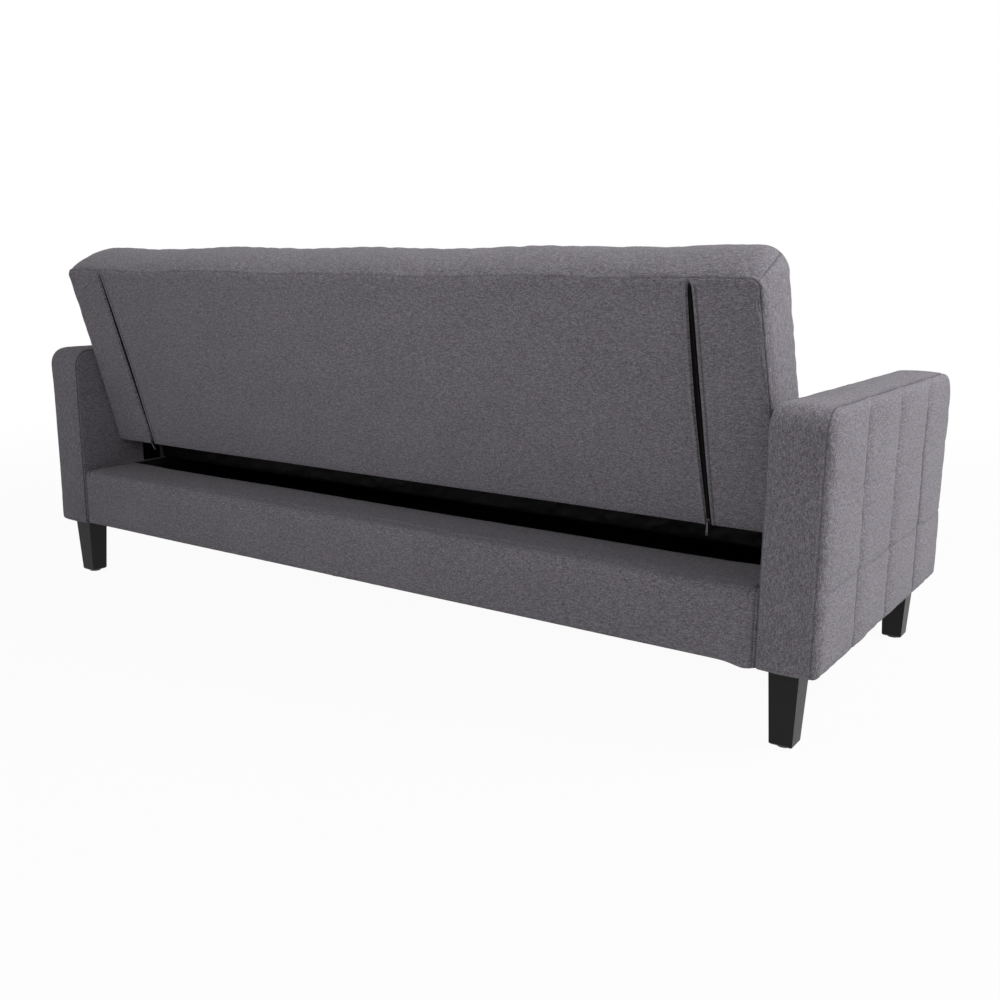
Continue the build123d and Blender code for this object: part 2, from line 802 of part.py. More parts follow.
def make_back_frame():
    """Rails, stiles, slats and hinge arms inside the back."""
    frame_depths = (back_frame_front, back_frame_rear)
    between = (-back_stile_inner, back_stile_inner)
    foot = back_cavity_foot + soft_clearance
    head = back_cavity_top - soft_clearance
    with BuildPart() as bottom_rail:
        back_block(between, frame_depths, (foot, foot + back_rail_width))
    keep(bottom_rail.part, "back_bottom_rail")

    with BuildPart() as top_rail:
        back_block(between, frame_depths, (head - back_rail_width, head))
    keep(top_rail.part, "back_top_rail")

    with BuildPart() as stiles:
        back_block((back_stile_inner, back_stile_outer), frame_depths, (foot, head))
        back_block((back_stile_outer, back_plate_inner), frame_depths, (foot, back_block_height))
        screw_reach = (back_plate_outer - screw_length, back_plate_inner)
        screw_bore = screw_radius + bolt_clearance
        cross_rod(screw_bore, screw_reach, back_arm_screw_points(), plane=back_side, mode=Mode.SUBTRACT)
        mirror(about=Plane.YZ)
    keep(stiles.part, "back_stiles")

    with BuildPart() as slats:
        pitch = (2 * back_stile_outer - slat_width) / (slat_count - 1)
        with BuildSketch(back_across.offset(foot)):
            with Locations((0, back_frame_front - slat_thickness / 2)):
                with GridLocations(pitch, 1, slat_count, 1):
                    Rectangle(slat_width, slat_thickness)
        extrude(amount=head - foot)
    keep(slats.part, "back_slats")

    with BuildPart() as hinge_arm:
        strip_foot = back_cavity_foot + soft_clearance
        strip_head = strip_foot + hinge_strip_width
        with BuildSketch(back_side.offset(back_plate_inner)):
            with Locations((back_frame_rear / 2, middle((strip_foot, strip_head)))):
                Rectangle(back_frame_rear, hinge_strip_width)
            with Locations((middle(frame_depths), middle((strip_foot, back_arm_rise)))):
                Rectangle(hinge_strip_width, back_arm_rise - strip_foot)
            Circle(hinge_eye_radius)
            Circle(hinge_pin_radius + pin_clearance, mode=Mode.SUBTRACT)
        extrude(amount=hinge_plate_thickness)
        plate_span = (back_plate_inner, back_plate_outer)
        cross_rod(screw_bore, plate_span, back_arm_screw_points(), plane=back_side, mode=Mode.SUBTRACT)
    keep_pair(hinge_arm.part, "back_hinge_arm")

    with BuildPart() as screws:
        shank = (back_plate_outer - screw_length, back_plate_outer)
        cross_rod(screw_radius, shank, back_arm_screw_points(), plane=back_side)
        head_span = (back_plate_outer, back_plate_outer + screw_head_length)
        cross_rod(screw_head_radius, head_span, back_arm_screw_points(), plane=back_side)
        mirror(about=Plane.YZ)
    keep(screws.part, "back_hinge_screws")


def back_cavity(inset, depth_span, half_width):
    """Extrude the hollow of the back cover, or what fills it, between two depths."""
    rounding = cushion_edge - inset
    foot = back_foot + inset
    head = back_rear_height - inset
    with BuildSketch(back_side.offset(-half_width)) as section:
        with BuildLine():
            FilletPolyline(
                (depth_span[0], foot),
                (depth_span[1], foot),
                (depth_span[1], head),
                (depth_span[0], head),
                radius=[rounding, 0, 0, back_front_corner - inset],
                close=True,
            )
        make_face()
    extrude(section.sketch, amount=2 * half_width)


def make_back_cover():
    """Foam and quilted cover of the back."""
    with BuildPart() as foam:
        inset = cushion_wall + soft_clearance
        back_cavity(inset, (back_front + inset, back_frame_front - slat_thickness), foam_half)
        extrude(back_outline(inset), amount=back_thickness + trim_reach, mode=Mode.INTERSECT)
    keep(foam.part, "back_foam")

    with BuildPart() as hollow:
        back_cavity(cushion_wall, (back_front + cushion_wall, back_cavity_rear), back_cavity_half)
        extrude(back_outline(cushion_wall), amount=back_thickness + trim_reach, mode=Mode.INTERSECT)

    with BuildPart() as cover:
        extrude(back_profile(), amount=2 * cushion_half)
        corner_x = cushion_half - back_end_draw_in
        behind = back_rear + overrun
        with BuildSketch(back_across.offset(back_foot - overrun)):
            with BuildLine():
                arc_row((corner_x, back_front), (-corner_x, back_front), cushion_columns, channel_crown)
                arc_row((-corner_x, back_front), (-corner_x, behind), 1, back_end_draw_in)
                Line((-corner_x, behind), (corner_x, behind))
                arc_row((corner_x, behind), (corner_x, back_front), 1, back_end_draw_in)
            make_face()
        extrude(amount=back_front_height - back_foot + trim_reach, mode=Mode.INTERSECT)
        extrude(back_outline(0), amount=back_thickness + trim_reach, mode=Mode.INTERSECT)
        split(bisect_by=back_facing.offset(-panel_front), keep=Keep.TOP)
        add(hollow.part, mode=Mode.SUBTRACT)
        hinge_pockets()
        for side in (-1, 1):
            tape_x = side * zip_from_middle
            half_tape = zip_tape_width / 2 + zip_play
            tape_span = (tape_x - half_tape, tape_x + half_tape)
            tape_heights = (back_foot, back_rear_height)
            back_block(tape_span, (tape_front, panel_front), tape_heights, mode=Mode.SUBTRACT)
    keep(cover.part, "back_cover")


def make_back_panels():
    """Flat rear panels of the back, parted by the two zips."""
    inner_edge = zip_from_middle + zip_gap / 2
    outer_edge = cushion_half
    spans = {
        "centre_back_panel": (zip_gap / 2 - zip_from_middle, zip_from_middle - zip_gap / 2),
        "left_back_panel": (inner_edge, outer_edge),
        "right_back_panel": (-outer_edge, -inner_edge),
    }
    panel_heights = (back_foot + back_foot_corner, back_rear_height - panel_margin)
    for name, span in spans.items():
        with BuildPart() as panel:
            back_block(span, (panel_front, back_rear), panel_heights)
            seam = back_outline(back_end_draw_in + panel_margin)
            extrude(seam, amount=back_thickness + overrun, mode=Mode.INTERSECT)
        keep(panel.part, name)


def make_zips():
    """Zip tapes with their coils, the sliders and the hanging pulls."""
    tape_heights = (back_foot + back_foot_corner, back_rear_height - panel_margin)
    with BuildPart() as tapes:
        for side in (-1, 1):
            tape_x = side * zip_from_middle
            flat = (tape_x - zip_tape_width / 2, tape_x + zip_tape_width / 2)
            coil = (tape_x - zip_coil_width / 2, tape_x + zip_coil_width / 2)
            back_block(flat, (tape_front, tape_front + zip_tape_thickness), tape_heights)
            back_block(coil, (tape_front, coil_rear), tape_heights)
    keep(tapes.part, "zip_tapes")

    pivot = [(pull_pivot_depth, slider_middle)]
    with BuildPart() as slider:
        half_slider = slider_width / 2
        body = (zip_from_middle - half_slider, zip_from_middle + half_slider)
        back_block(body, (slider_front, slider_rear), (slider_low, slider_low + slider_length))
        ear_heights = (slider_middle - slider_ear_height / 2, slider_middle + slider_ear_height / 2)
        for ear in ((body[0], body[0] + slider_ear_width), (body[1] - slider_ear_width, body[1])):
            back_block(ear, (slider_rear, slider_rear + slider_ear_height), ear_heights)
        cross_rod(pull_pin_radius, body, pivot, plane=back_side)
    keep_pair(slider.part, "zip_slider")

    with BuildPart() as pull:
        half_pull = pull_width / 2
        hang = Plane(
            origin=back_side.from_local_coords((*pivot[0], zip_from_middle - half_pull)),
            x_dir=(0, 1, 0),
            z_dir=(1, 0, 0),
        )
        with BuildSketch(hang):
            with Locations((0, -pull_length / 2)):
                Rectangle(pull_thickness, pull_length)
            Circle(slider_ear_height / 2 - zip_play)
            Circle(pull_pin_radius + pin_clearance, mode=Mode.SUBTRACT)
        extrude(amount=pull_width)
    keep_pair(pull.part, "zip_pull")


make_arms()
make_legs()
make_box()
make_hinges()
make_seat()
make_back_frame()
make_back_cover()
make_back_panels()
make_zips()
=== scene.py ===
"""Storage sofa bed: quilted covers, zips, linings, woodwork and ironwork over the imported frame.

Everything is in metres in the frame's own axes: +X is the sitter's left, the sitter looks along -Y
and the floor is at Z = 0.
"""

import logging
import math
from collections.abc import Callable
from dataclasses import dataclass, field
from enum import Enum

import bmesh
import bpy
import numpy as np
from bpy.types import Material, Mesh, Node, NodeSocket, NodeTree, Object
from mathutils import Matrix, Vector
from numpy import ndarray


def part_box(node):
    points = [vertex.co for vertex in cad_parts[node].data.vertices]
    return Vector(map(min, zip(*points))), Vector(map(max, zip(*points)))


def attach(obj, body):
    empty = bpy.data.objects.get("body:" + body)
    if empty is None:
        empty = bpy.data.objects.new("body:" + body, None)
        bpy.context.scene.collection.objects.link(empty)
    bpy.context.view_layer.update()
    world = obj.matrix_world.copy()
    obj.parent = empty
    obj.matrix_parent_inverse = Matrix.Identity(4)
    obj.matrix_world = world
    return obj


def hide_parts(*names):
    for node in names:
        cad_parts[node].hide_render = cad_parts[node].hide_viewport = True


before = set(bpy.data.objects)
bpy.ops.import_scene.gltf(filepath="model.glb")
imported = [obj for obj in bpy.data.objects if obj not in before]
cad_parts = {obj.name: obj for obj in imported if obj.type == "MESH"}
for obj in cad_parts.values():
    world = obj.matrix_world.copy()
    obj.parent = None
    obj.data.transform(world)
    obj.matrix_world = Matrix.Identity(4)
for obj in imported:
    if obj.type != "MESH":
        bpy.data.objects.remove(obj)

log = logging.getLogger("sofa_bed")

# The UV map that carries the weave, and the attribute that paints shade into seams, channels and folds.
WEAVE_MAP = "weave"
SEAM_SHADE = "crease"
SIDEWAYS, REARWARD, UPWARD = np.eye(3)
# The line that seat and back turn about, and the back's lean at rest.
HINGE = np.array((0.0, 0.188, 0.425))
TILT = math.radians(17)
BACK_UP = np.array((0.0, math.sin(TILT), math.cos(TILT)))
BACK_REARWARD = np.array((0.0, math.cos(TILT), -math.sin(TILT)))
# Round the hinge line the cushions' ends are drawn in to this X.
POCKET_RADIUS = 0.0505
POCKET_X = 0.904
# The cosine beyond which a corner of an outline is no longer drawn out to a point.
SHARPEST = 0.7071


class Side(Enum):
    """The sitter's two sides, as the sign of X."""

    LEFT = 1.0
    RIGHT = -1.0

    @property
    def word(self) -> str:
        """The side's name as the frame's nodes spell it."""
        return self.name.lower()


class Grain(Enum):
    """The axis that a board's grain runs along, as the index of a coordinate."""

    ACROSS = 0
    DEEP = 1
    UPRIGHT = 2


class Bead(Enum):
    """The small part that a sewn or stapled row repeats."""

    STITCH = "stitch"
    BLOCK = "block"


def maths(operation: str, flip: bool = False) -> Callable[..., "Sock"]:
    """A socket's method that adds a Math node.

    Args:
        operation: The node's operation.
        flip: Whether the socket comes last, as in 1 - mask.

    Returns:
        The method.
    """

    def method(sock: "Sock", *others: "Sock | float") -> "Sock":
        """The operation's result."""
        values = dict(enumerate((*others, sock) if flip else (sock, *others)))
        return sock.graph.out(sock.graph.node("ShaderNodeMath", {"operation": operation}, values))

    return method


class Sock:
    """A node socket that takes part in Python arithmetic."""

    __add__ = __radd__ = maths("ADD")
    __sub__, __rsub__ = maths("SUBTRACT"), maths("SUBTRACT", flip=True)
    __mul__ = __rmul__ = maths("MULTIPLY")
    __truediv__, __rtruediv__ = maths("DIVIDE"), maths("DIVIDE", flip=True)
    __pow__ = maths("POWER")
    __abs__ = maths("ABSOLUTE")
    sine = maths("SINE")
    highest = maths("MAXIMUM")

    def __init__(self, graph: "Graph", socket: NodeSocket) -> None:
        """Wrap a socket."""
        self.graph = graph
        self.socket = socket

    def ease(self, low: float, high: float) -> "Sock":
        """A smooth step.

        Args:
            low: Where it leaves 0.
            high: Where it reaches 1.

        Returns:
            The step's height.
        """
        made = self.graph.node(
            "ShaderNodeMapRange", {"interpolation_type": "SMOOTHSTEP"},
            {"Value": self, "From Min": low, "From Max": high},
        )
        return self.graph.out(made, "Result")


class Graph:
    """A node tree, with the one way to add a node to it."""

    def __init__(self, tree: NodeTree) -> None:
        """Take charge of an empty tree."""
        self.tree = tree
        tree.nodes.clear()

    def node(self, kind: str, settings: dict | None = None, sockets: dict | None = None) -> Node:
        """Add a node.

        Args:
            kind: The node's type.
            settings: Properties by name, set first; "stops" are a ramp's (place, colour) pairs.
            sockets: Values or links by input name or number.

        Returns:
            The node.
        """
        made = self.tree.nodes.new(kind)
        for name, value in (settings or {}).items():
            if name == "stops":
                ramp = made.color_ramp.elements
                while len(ramp) < len(value):
                    ramp.new(1.0)
                for element, (place, colour) in zip(ramp, value):
                    element.position = place
                    element.color = (*colour, 1.0)
            else:
                setattr(made, name, value)
        for key, value in (sockets or {}).items():
            if isinstance(value, Sock):
                self.tree.links.new(value.socket, made.inputs[key])
            else:
                made.inputs[key].default_value = value
        return made

    def out(self, made: Node, key: int | str = 0) -> Sock:
        """An output of a node as a Sock."""
        return Sock(self, made.outputs[key])

    def seen(self) -> Sock:
        """Which rays show a surface to the camera, straight, mirrored or through glass.

        Returns:
            1 on such rays and 0 on others.
        """
        rays = self.node("ShaderNodeLightPath")
        kinds = ("Camera", "Glossy", "Transmission")
        straight, mirrored, through = (self.out(rays, f"Is {kind} Ray") for kind in kinds)
        return straight.highest(mirrored).highest(through)


class Shade(Graph):
    """A material's shader tree round one Principled shader."""

    def __init__(self, name: str) -> None:
        """Make an empty material.

        Args:
            name: The material's name.
        """
        self.material = bpy.data.materials.new(name)
        self.material.use_nodes = True
        super().__init__(self.material.node_tree)

    def place(self, grain: Grain | None = None, shift: float = 0.0) -> tuple[Sock, Sock, Sock]:
        """Object coordinates.

        Args:
            grain: Axis that comes first, if not X.
            shift: Distance that the pattern is moved by.

        Returns:
            The three coordinates, the grain's own first.
        """
        coords = self.out(self.node("ShaderNodeTexCoord"), "Object")
        parts = self.node("ShaderNodeSeparateXYZ", sockets={0: coords})
        order = [0, 1, 2]
        if grain is not None:
            order = [grain.value, *(i for i in order if i != grain.value)]
        first, second, third = (self.out(parts, i) for i in order)
        return first + shift, second, third

    def cloth(self) -> tuple[Sock, Sock]:
        """The piece's own weave map.

        Returns:
            Its two coordinates, in metres.
        """
        made = self.node("ShaderNodeUVMap", {"uv_map": WEAVE_MAP})
        parts = self.node("ShaderNodeSeparateXYZ", sockets={0: self.out(made)})
        return self.out(parts, 0), self.out(parts, 1)

    def facing(self) -> Sock:
        """How far the surface faces sideways.

        Returns:
            From -1 to 1.
        """
        made = self.node("ShaderNodeNewGeometry")
        parts = self.node("ShaderNodeSeparateXYZ", sockets={0: self.out(made, "Normal")})
        return self.out(parts, 0)

    def noise(self, a: Sock | float, b: Sock | float, c: Sock | float, detail: float = 2.0) -> Sock:
        """Noise of unit size at a point.

        Args:
            a: First coordinate.
            b: Second coordinate.
            c: Third coordinate.
            detail: Octaves.

        Returns:
            A value about one half.
        """
        spot = self.node("ShaderNodeCombineXYZ", sockets={0: a, 1: b, 2: c})
        made = self.node(
            "ShaderNodeTexNoise", sockets={"Vector": self.out(spot), "Scale": 1.0, "Detail": detail}
        )
        return self.out(made, 0)

    def mix(self, share: Sock, low: Sock | tuple, high: Sock | tuple) -> Sock:
        """Blend two colours.

        Args:
            share: Share of the second.
            low: First colour.
            high: Second colour.

        Returns:
            The blend.
        """
        first, second = (c if isinstance(c, Sock) else (*c, 1.0) for c in (low, high))
        made = self.node("ShaderNodeMix", {"data_type": "RGBA"}, {0: share, 6: first, 7: second})
        return self.out(made, 2)

    def ramp(self, value: Sock, stops: list[tuple[float, tuple]]) -> Sock:
        """A colour ramp over a value."""
        return self.out(self.node("ShaderNodeValToRGB", {"stops": stops}, {0: value}))

    def bump(self, height: Sock, depth: float, strength: float = 1.0) -> Sock:
        """A bumped normal.

        Args:
            height: Height from 0 to 1.
            depth: Metres that 1 stands for.
            strength: Share of the effect.

        Returns:
            The normal.
        """
        made = self.node(
            "ShaderNodeBump", sockets={"Strength": strength, "Distance": depth, "Height": height}
        )
        return self.out(made)

    def close(self, **sockets: object) -> Material:
        """Add the Principled shader and the output.

        Args:
            sockets: The shader's values and links, by name with _ for a space.

        Returns:
            The material.
        """
        named = {key.replace("_", " "): value for key, value in sockets.items()}
        shader = self.node("ShaderNodeBsdfPrincipled", sockets=named)
        self.node("ShaderNodeOutputMaterial", sockets={"Surface": self.out(shader)})
        return self.material


@dataclass(frozen=True)
class HeatherWeave:
    """Mid-grey linen-look upholstery: a plain weave of slubby yarns in mixed greys."""

    name: str = "heather_weave"
    dark: tuple = (0.090, 0.0838, 0.0955)
    light: tuple = (0.300, 0.2835, 0.3195)
    fleck: tuple = (0.140, 0.092, 0.104)
    cool: tuple = (0.158, 0.166, 0.164)
    # Painted shade: the colour that seams, quilting lines and folds are darkened towards.
    seam: tuple = (0.030, 0.028, 0.031)
    pitch: float = 0.0014
    slub: float = 0.0085
    relief: float = 0.0005

    def material(self) -> Material:
        """Make the material.

        Returns:
            The material.
        """
        s = Shade(self.name)
        u, v = s.cloth()
        warp, weft = u * (math.pi / self.pitch), v * (math.pi / self.pitch)
        over = (warp.sine() * weft.sine()).ease(-0.35, 0.35)
        yarn = abs(weft.sine()) * (1.0 - over) + abs(warp.sine()) * over
        weft_tone = s.noise(u / self.slub, v / (self.pitch * 1.35), 1.7)
        warp_tone = s.noise(u / (self.pitch * 1.35), v / (self.slub * 0.6), 5.1)
        speckle = s.noise(u / 0.0034, v / 0.0017, 9.4, 1.0)
        knots = s.noise(u / 0.0024, v / 0.0017, 17.3, 1.0)
        cloud = s.noise(u / 0.16, v / 0.11, 2.2)
        tone = (
            0.5
            + (weft_tone - 0.5) * (1.35 - over * 0.6)
            + (warp_tone - 0.5) * (0.6 + over * 0.6)
            + (speckle - 0.5) * 1.2
            + (knots - 0.5) * 1.15
            + (cloud - 0.5) * 0.16
            + (yarn - 0.62) * 0.35
        )
        colour = s.mix(tone.ease(-0.05, 1.05), self.dark, self.light)
        warm = s.noise(u / 0.013, v / 0.0045, 14.0, 2.0).ease(0.50, 0.72) * 0.50
        chill = s.noise(u / 0.015, v / 0.0055, 33.0, 2.0).ease(0.50, 0.72) * 0.40
        # Painted shade: the weave darkens towards the seam colour by the attribute that seams, channels and
        # folds carry.
        crease = s.out(s.node("ShaderNodeAttribute", {"attribute_name": SEAM_SHADE}), "Fac")
        fuzz = s.noise(u / 0.0006, v / 0.0006, 3.0, 1.0)
        dyed = s.mix(chill, s.mix(warm, colour, self.fleck), self.cool)
        return s.close(
            Base_Color=s.mix(crease * 0.85, dyed, self.seam), Roughness=0.86 + (speckle - 0.5) * 0.12,
            Normal=s.bump(yarn * 0.8 + weft_tone * 0.6 + speckle * 0.5 + fuzz * 0.3, self.relief, 0.7),
            Specular_IOR_Level=0.22, Sheen_Weight=0.10, Sheen_Roughness=0.45,
        )


@dataclass(frozen=True)
class Nonwoven:
    """Black spun lining, thermally dotted, with a slight gloss on its folds."""

    name: str = "black_nonwoven"
    base: tuple = (0.0030, 0.0030, 0.0036)
    worn: tuple = (0.0105, 0.0105, 0.0120)
    dot: float = 0.0022

    def material(self) -> Material:
        """Make the material.

        Returns:
            The material.
        """
        s = Shade(self.name)
        u, v = s.cloth()
        turn = math.pi / self.dot
        dots = ((u * turn).sine() * (v * turn).sine()).ease(0.25, 0.7)
        fibre = s.noise(u / 0.004, v / 0.0012, 2.0, 4.0)
        cloud = s.noise(u / 0.08, v / 0.03, 6.0)
        fold = 1.0 - abs(s.noise(u / 0.10 + v / 0.16, v / 0.09, 9.0) - 0.5) * 7.0
        return s.close(
            Base_Color=s.mix(fibre * 0.6 + cloud * 0.5 - 0.1, self.base, self.worn),
            Roughness=0.36 + fibre * 0.25,
            Normal=s.bump(fibre * 0.03 - dots * 0.04 + fold.highest(0.0), 0.0030, 0.8),
            Specular_IOR_Level=0.15,
        )


@dataclass(frozen=True)
class LacqueredWood:
    """Satin black lacquer over turned-down grain, scuffed near the foot."""

    name: str = "black_lacquer"
    base: tuple = (0.0060, 0.0058, 0.0060)
    rubbed: tuple = (0.034, 0.031, 0.029)

    def material(self) -> Material:
        """Make the material.

        Returns:
            The material.
        """
        s = Shade(self.name)
        z, x, y = s.place(Grain.UPRIGHT)
        grain = s.noise(z / 0.09, x / 0.0022, y / 0.0022, 4.0)
        pores = s.noise(z / 0.018, x / 0.0007, y / 0.0007, 2.0).ease(0.58, 0.72)
        low = 1.0 - z.ease(0.006, 0.055)
        scuff = s.noise(x / 0.009, y / 0.009, z / 0.006, 4.0).ease(0.60, 0.76) * low
        return s.close(
            Base_Color=s.mix(grain * 0.22 + scuff * 0.6, self.base, self.rubbed),
            Roughness=0.30 + grain * 0.16 + pores * 0.12 + scuff * 0.2,
            Normal=s.bump(grain * 0.5 - pores * 0.6, 0.00012, 0.7), Specular_IOR_Level=0.17,
        )


@dataclass(frozen=True)
class SawnTimber:
    """Sawn softwood with growth rings along one axis."""

    name: str
    grain: Grain
    pale: tuple = (0.56, 0.36, 0.18)
    ring: tuple = (0.36, 0.19, 0.08)
    spread: float = 0.0075

    def material(self) -> Material:
        """Make the material.

        Returns:
            The material.
        """
        s = Shade(self.name)
        along, a, b = s.place(self.grain)
        drift = s.noise(along / 0.45, a / 0.05, b / 0.05, 2.0)
        rings = ((a + b * 0.6) * (2 * math.pi / self.spread) + drift * 9.0).sine().ease(-0.4, 1.0)
        fibre = s.noise(along / 0.05, a / 0.0011, b / 0.0011, 3.0)
        tone = rings * 0.5 + fibre * 0.4 + drift * 0.2 - 0.1
        return s.close(
            Base_Color=s.ramp(tone, [(0.0, self.pale), (0.62, self.pale), (1.0, self.ring)]),
            Roughness=0.62 + fibre * 0.2, Normal=s.bump(fibre - rings * 0.3, 0.00025, 0.7),
        )


@dataclass(frozen=True)
class Fibreboard:
    """Brown pressed board, fine fibres on a smooth face."""

    name: str = "brown_fibreboard"
    base: tuple = (0.19, 0.115, 0.062)
    fibre: tuple = (0.32, 0.21, 0.12)

    def material(self) -> Material:
        """Make the material.

        Returns:
            The material.
        """
        s = Shade(self.name)
        x, y, z = s.place()
        strands = s.noise(x / 0.004, y / 0.0012, z / 0.004, 4.0)
        cross = s.noise(x / 0.0012, y / 0.004, z / 0.004, 4.0)
        cloud = s.noise(x / 0.2, y / 0.2, z / 0.2, 2.0)
        return s.close(
            Base_Color=s.mix((strands.highest(cross) - 0.35) * 1.4 + cloud * 0.3, self.base, self.fibre),
            Roughness=0.5 + strands * 0.25, Normal=s.bump(strands + cross, 0.00012, 0.6),
        )


@dataclass(frozen=True)
class PlatedMetal:
    """Plated or bare metal, brushed and slightly tarnished; surfaces that face along X may take a painted
    shade colour.
    """

    name: str
    base: tuple
    tarnish: tuple
    rough: float = 0.32
    # Painted shade: the colour of surfaces that face along X, if any.
    face: tuple | None = None

    def material(self) -> Material:
        """Make the material.

        Returns:
            The material.
        """
        s = Shade(self.name)
        x, y, z = s.place()
        brushed = s.noise(x / 0.0004, y / 0.006, z / 0.0004, 3.0)
        cloud = s.noise(x / 0.012, y / 0.012, z / 0.012, 4.0)
        tone = s.mix(cloud.ease(0.35, 0.75) * 0.8, self.base, self.tarnish)
        # Painted shade on surfaces that face along X.
        if self.face:
            tone = s.mix(abs(s.facing()).ease(0.75, 0.9), tone, self.face)
        return s.close(
            Base_Color=tone, Metallic=1.0, Roughness=self.rough + cloud * 0.22 + (brushed - 0.5) * 0.1,
            Normal=s.bump(brushed, 0.00004, 0.5),
        )


@dataclass(frozen=True)
class Moulding:
    """Matt black moulded plastic with a fine spark texture."""

    name: str = "black_moulding"
    base: tuple = (0.0042, 0.0042, 0.0046)
    bloom: tuple = (0.0095, 0.0095, 0.0102)

    def material(self) -> Material:
        """Make the material.

        Returns:
            The material.
        """
        s = Shade(self.name)
        x, y, z = s.place()
        spark = s.noise(x / 0.0006, y / 0.0006, z / 0.0006, 2.0)
        cloud = s.noise(x / 0.01, y / 0.01, z / 0.01, 3.0)
        return s.close(
            Base_Color=s.mix(cloud, self.base, self.bloom), Roughness=0.45 + cloud * 0.2,
            Normal=s.bump(spark, 0.00006, 0.6), Specular_IOR_Level=0.09,
        )


@dataclass(frozen=True)
class Webbing:
    """Woven black zip tape with a herringbone rib."""

    name: str = "zip_webbing"
    base: tuple = (0.0020, 0.0020, 0.0023)
    rib: tuple = (0.0058, 0.0058, 0.0062)

    def material(self) -> Material:
        """Make the material.

        Returns:
            The material.
        """
        s = Shade(self.name)
        x, y, z = s.place()
        slant = ((z + abs(x) * 0.8) * (2 * math.pi / 0.0016)).sine().ease(-0.5, 0.8)
        yarn = s.noise(x / 0.0006, y / 0.002, z / 0.0006, 2.0)
        return s.close(
            Base_Color=s.mix(slant * 0.6 + yarn * 0.3, self.base, self.rib),
            Roughness=0.75 + yarn * 0.15, Normal=s.bump(slant + yarn * 0.4, 0.0002, 0.7),
            Specular_IOR_Level=0.04,
        )


@dataclass(frozen=True)
class Thread:
    """Twisted polyester sewing thread."""

    name: str = "sewing_thread"
    base: tuple = (0.085, 0.081, 0.087)
    bright: tuple = (0.20, 0.19, 0.20)

    def material(self) -> Material:
        """Make the material.

        Returns:
            The material.
        """
        s = Shade(self.name)
        x, y, z = s.place()
        twist = ((x + y + z) * (2 * math.pi / 0.0011)).sine().ease(-0.6, 0.9)
        lint = s.noise(x / 0.003, y / 0.003, z / 0.003, 2.0)
        return s.close(
            Base_Color=s.mix(twist * 0.6 + lint * 0.3, self.base, self.bright),
            Roughness=0.6 + lint * 0.2, Normal=s.bump(twist, 0.0001, 0.6),
        )


class Finishes:
    """Every finish of the sofa, made once."""

    def __init__(self) -> None:
        """Make the materials."""
        self.fabric = HeatherWeave().material()
        self.lining = Nonwoven().material()
        self.lacquer = LacqueredWood().material()
        self.pine = {g: SawnTimber(f"pine_{g.name.lower()}", g).material() for g in Grain}
        ply = {"pale": (0.52, 0.35, 0.19), "ring": (0.40, 0.24, 0.115), "spread": 0.021}
        self.plywood = {
            g: SawnTimber(f"plywood_{g.name.lower()}", g, **ply).material()
            for g in (Grain.ACROSS, Grain.DEEP)
        }
        self.board = Fibreboard().material()
        plated = {
            "zinc_passivate": ((0.17, 0.118, 0.036), (0.052, 0.040, 0.023), 0.38),
            # The hinge plates' faces along X take a near-black painted shade; their edges keep the zinc's
            # colour.
            "hinge_plate": ((0.30, 0.21, 0.07), (0.09, 0.068, 0.03), 0.38, (0.004, 0.004, 0.0045)),
            "black_oxide": ((0.020, 0.020, 0.021), (0.011, 0.011, 0.011), 0.42),
            "bright_steel": ((0.52, 0.52, 0.53), (0.36, 0.35, 0.34), 0.30),
            "zip_nickel": ((0.080, 0.080, 0.079), (0.046, 0.045, 0.044), 0.30),
        }
        made = [PlatedMetal(name, *looks).material() for name, looks in plated.items()]
        self.zinc, self.plate, self.oxide, self.steel, self.nickel = made
        self.plastic = Moulding().material()
        self.tape = Webbing().material()
        self.thread = Thread().material()


def dress(material: Material, *nodes: str) -> None:
    """Give CAD nodes a finish.

    Args:
        material: The finish.
        nodes: The nodes' names.
    """
    for name in nodes:
        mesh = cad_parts[name].data
        mesh.materials.clear()
        mesh.materials.append(material)
        log.info("dressed %s in %s", name, material.name)


def add_object(name: str, mesh: Mesh) -> Object:
    """Link a mesh into the scene.

    Args:
        name: The piece's name.
        mesh: Its mesh.

    Returns:
        The object, at the origin.
    """
    made = bpy.data.objects.new(name, mesh)
    bpy.context.scene.collection.objects.link(made)
    return made


def take_off(bm: bmesh.types.BMesh, name: str, material: Material) -> Object:
    """Turn a working mesh into a piece.

    Args:
        bm: The working mesh, freed afterwards.
        name: The piece's name.
        material: Its finish.

    Returns:
        The piece.
    """
    mesh = bpy.data.meshes.new(name)
    bm.to_mesh(mesh)
    bm.free()
    mesh.materials.append(material)
    return add_object(name, mesh)


def join(piece: Object, body: str, slot: str, *stands_for: str, fill: float | None = None) -> None:
    """Join a piece to the frame.

    Args:
        piece: The piece.
        body: The body that it rides.
        slot: The record's material slot; not used.
        stands_for: CAD nodes that it replaces.
        fill: How full a cushion is stuffed, 0 to 1; not used.
    """
    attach(piece, body)
    if stands_for:
        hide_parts(*stands_for)


def settle(piece: Object) -> None:
    """Replace a piece's mesh by its evaluated one and drop its modifiers.

    Args:
        piece: The piece.
    """
    graph = bpy.context.evaluated_depsgraph_get()
    mesh = bpy.data.meshes.new_from_object(
        piece.evaluated_get(graph), preserve_all_data_layers=True, depsgraph=graph
    )
    mesh.name = piece.name
    piece.modifiers.clear()
    piece.data = mesh


def shade_smooth(mesh: Mesh) -> None:
    """Let a mesh's faces run into each other."""
    mesh.polygons.foreach_set("use_smooth", [True] * len(mesh.polygons))


def round_edges(piece: Object, width: float, segments: int) -> None:
    """Round a piece's sharp edges.

    Args:
        piece: The piece.
        width: Width of the rounding.
        segments: Steps of the rounding.
    """
    soften = piece.modifiers.new("soften", "BEVEL")
    soften.width = width
    soften.segments = segments
    soften.limit_method = "ANGLE"
    settle(piece)


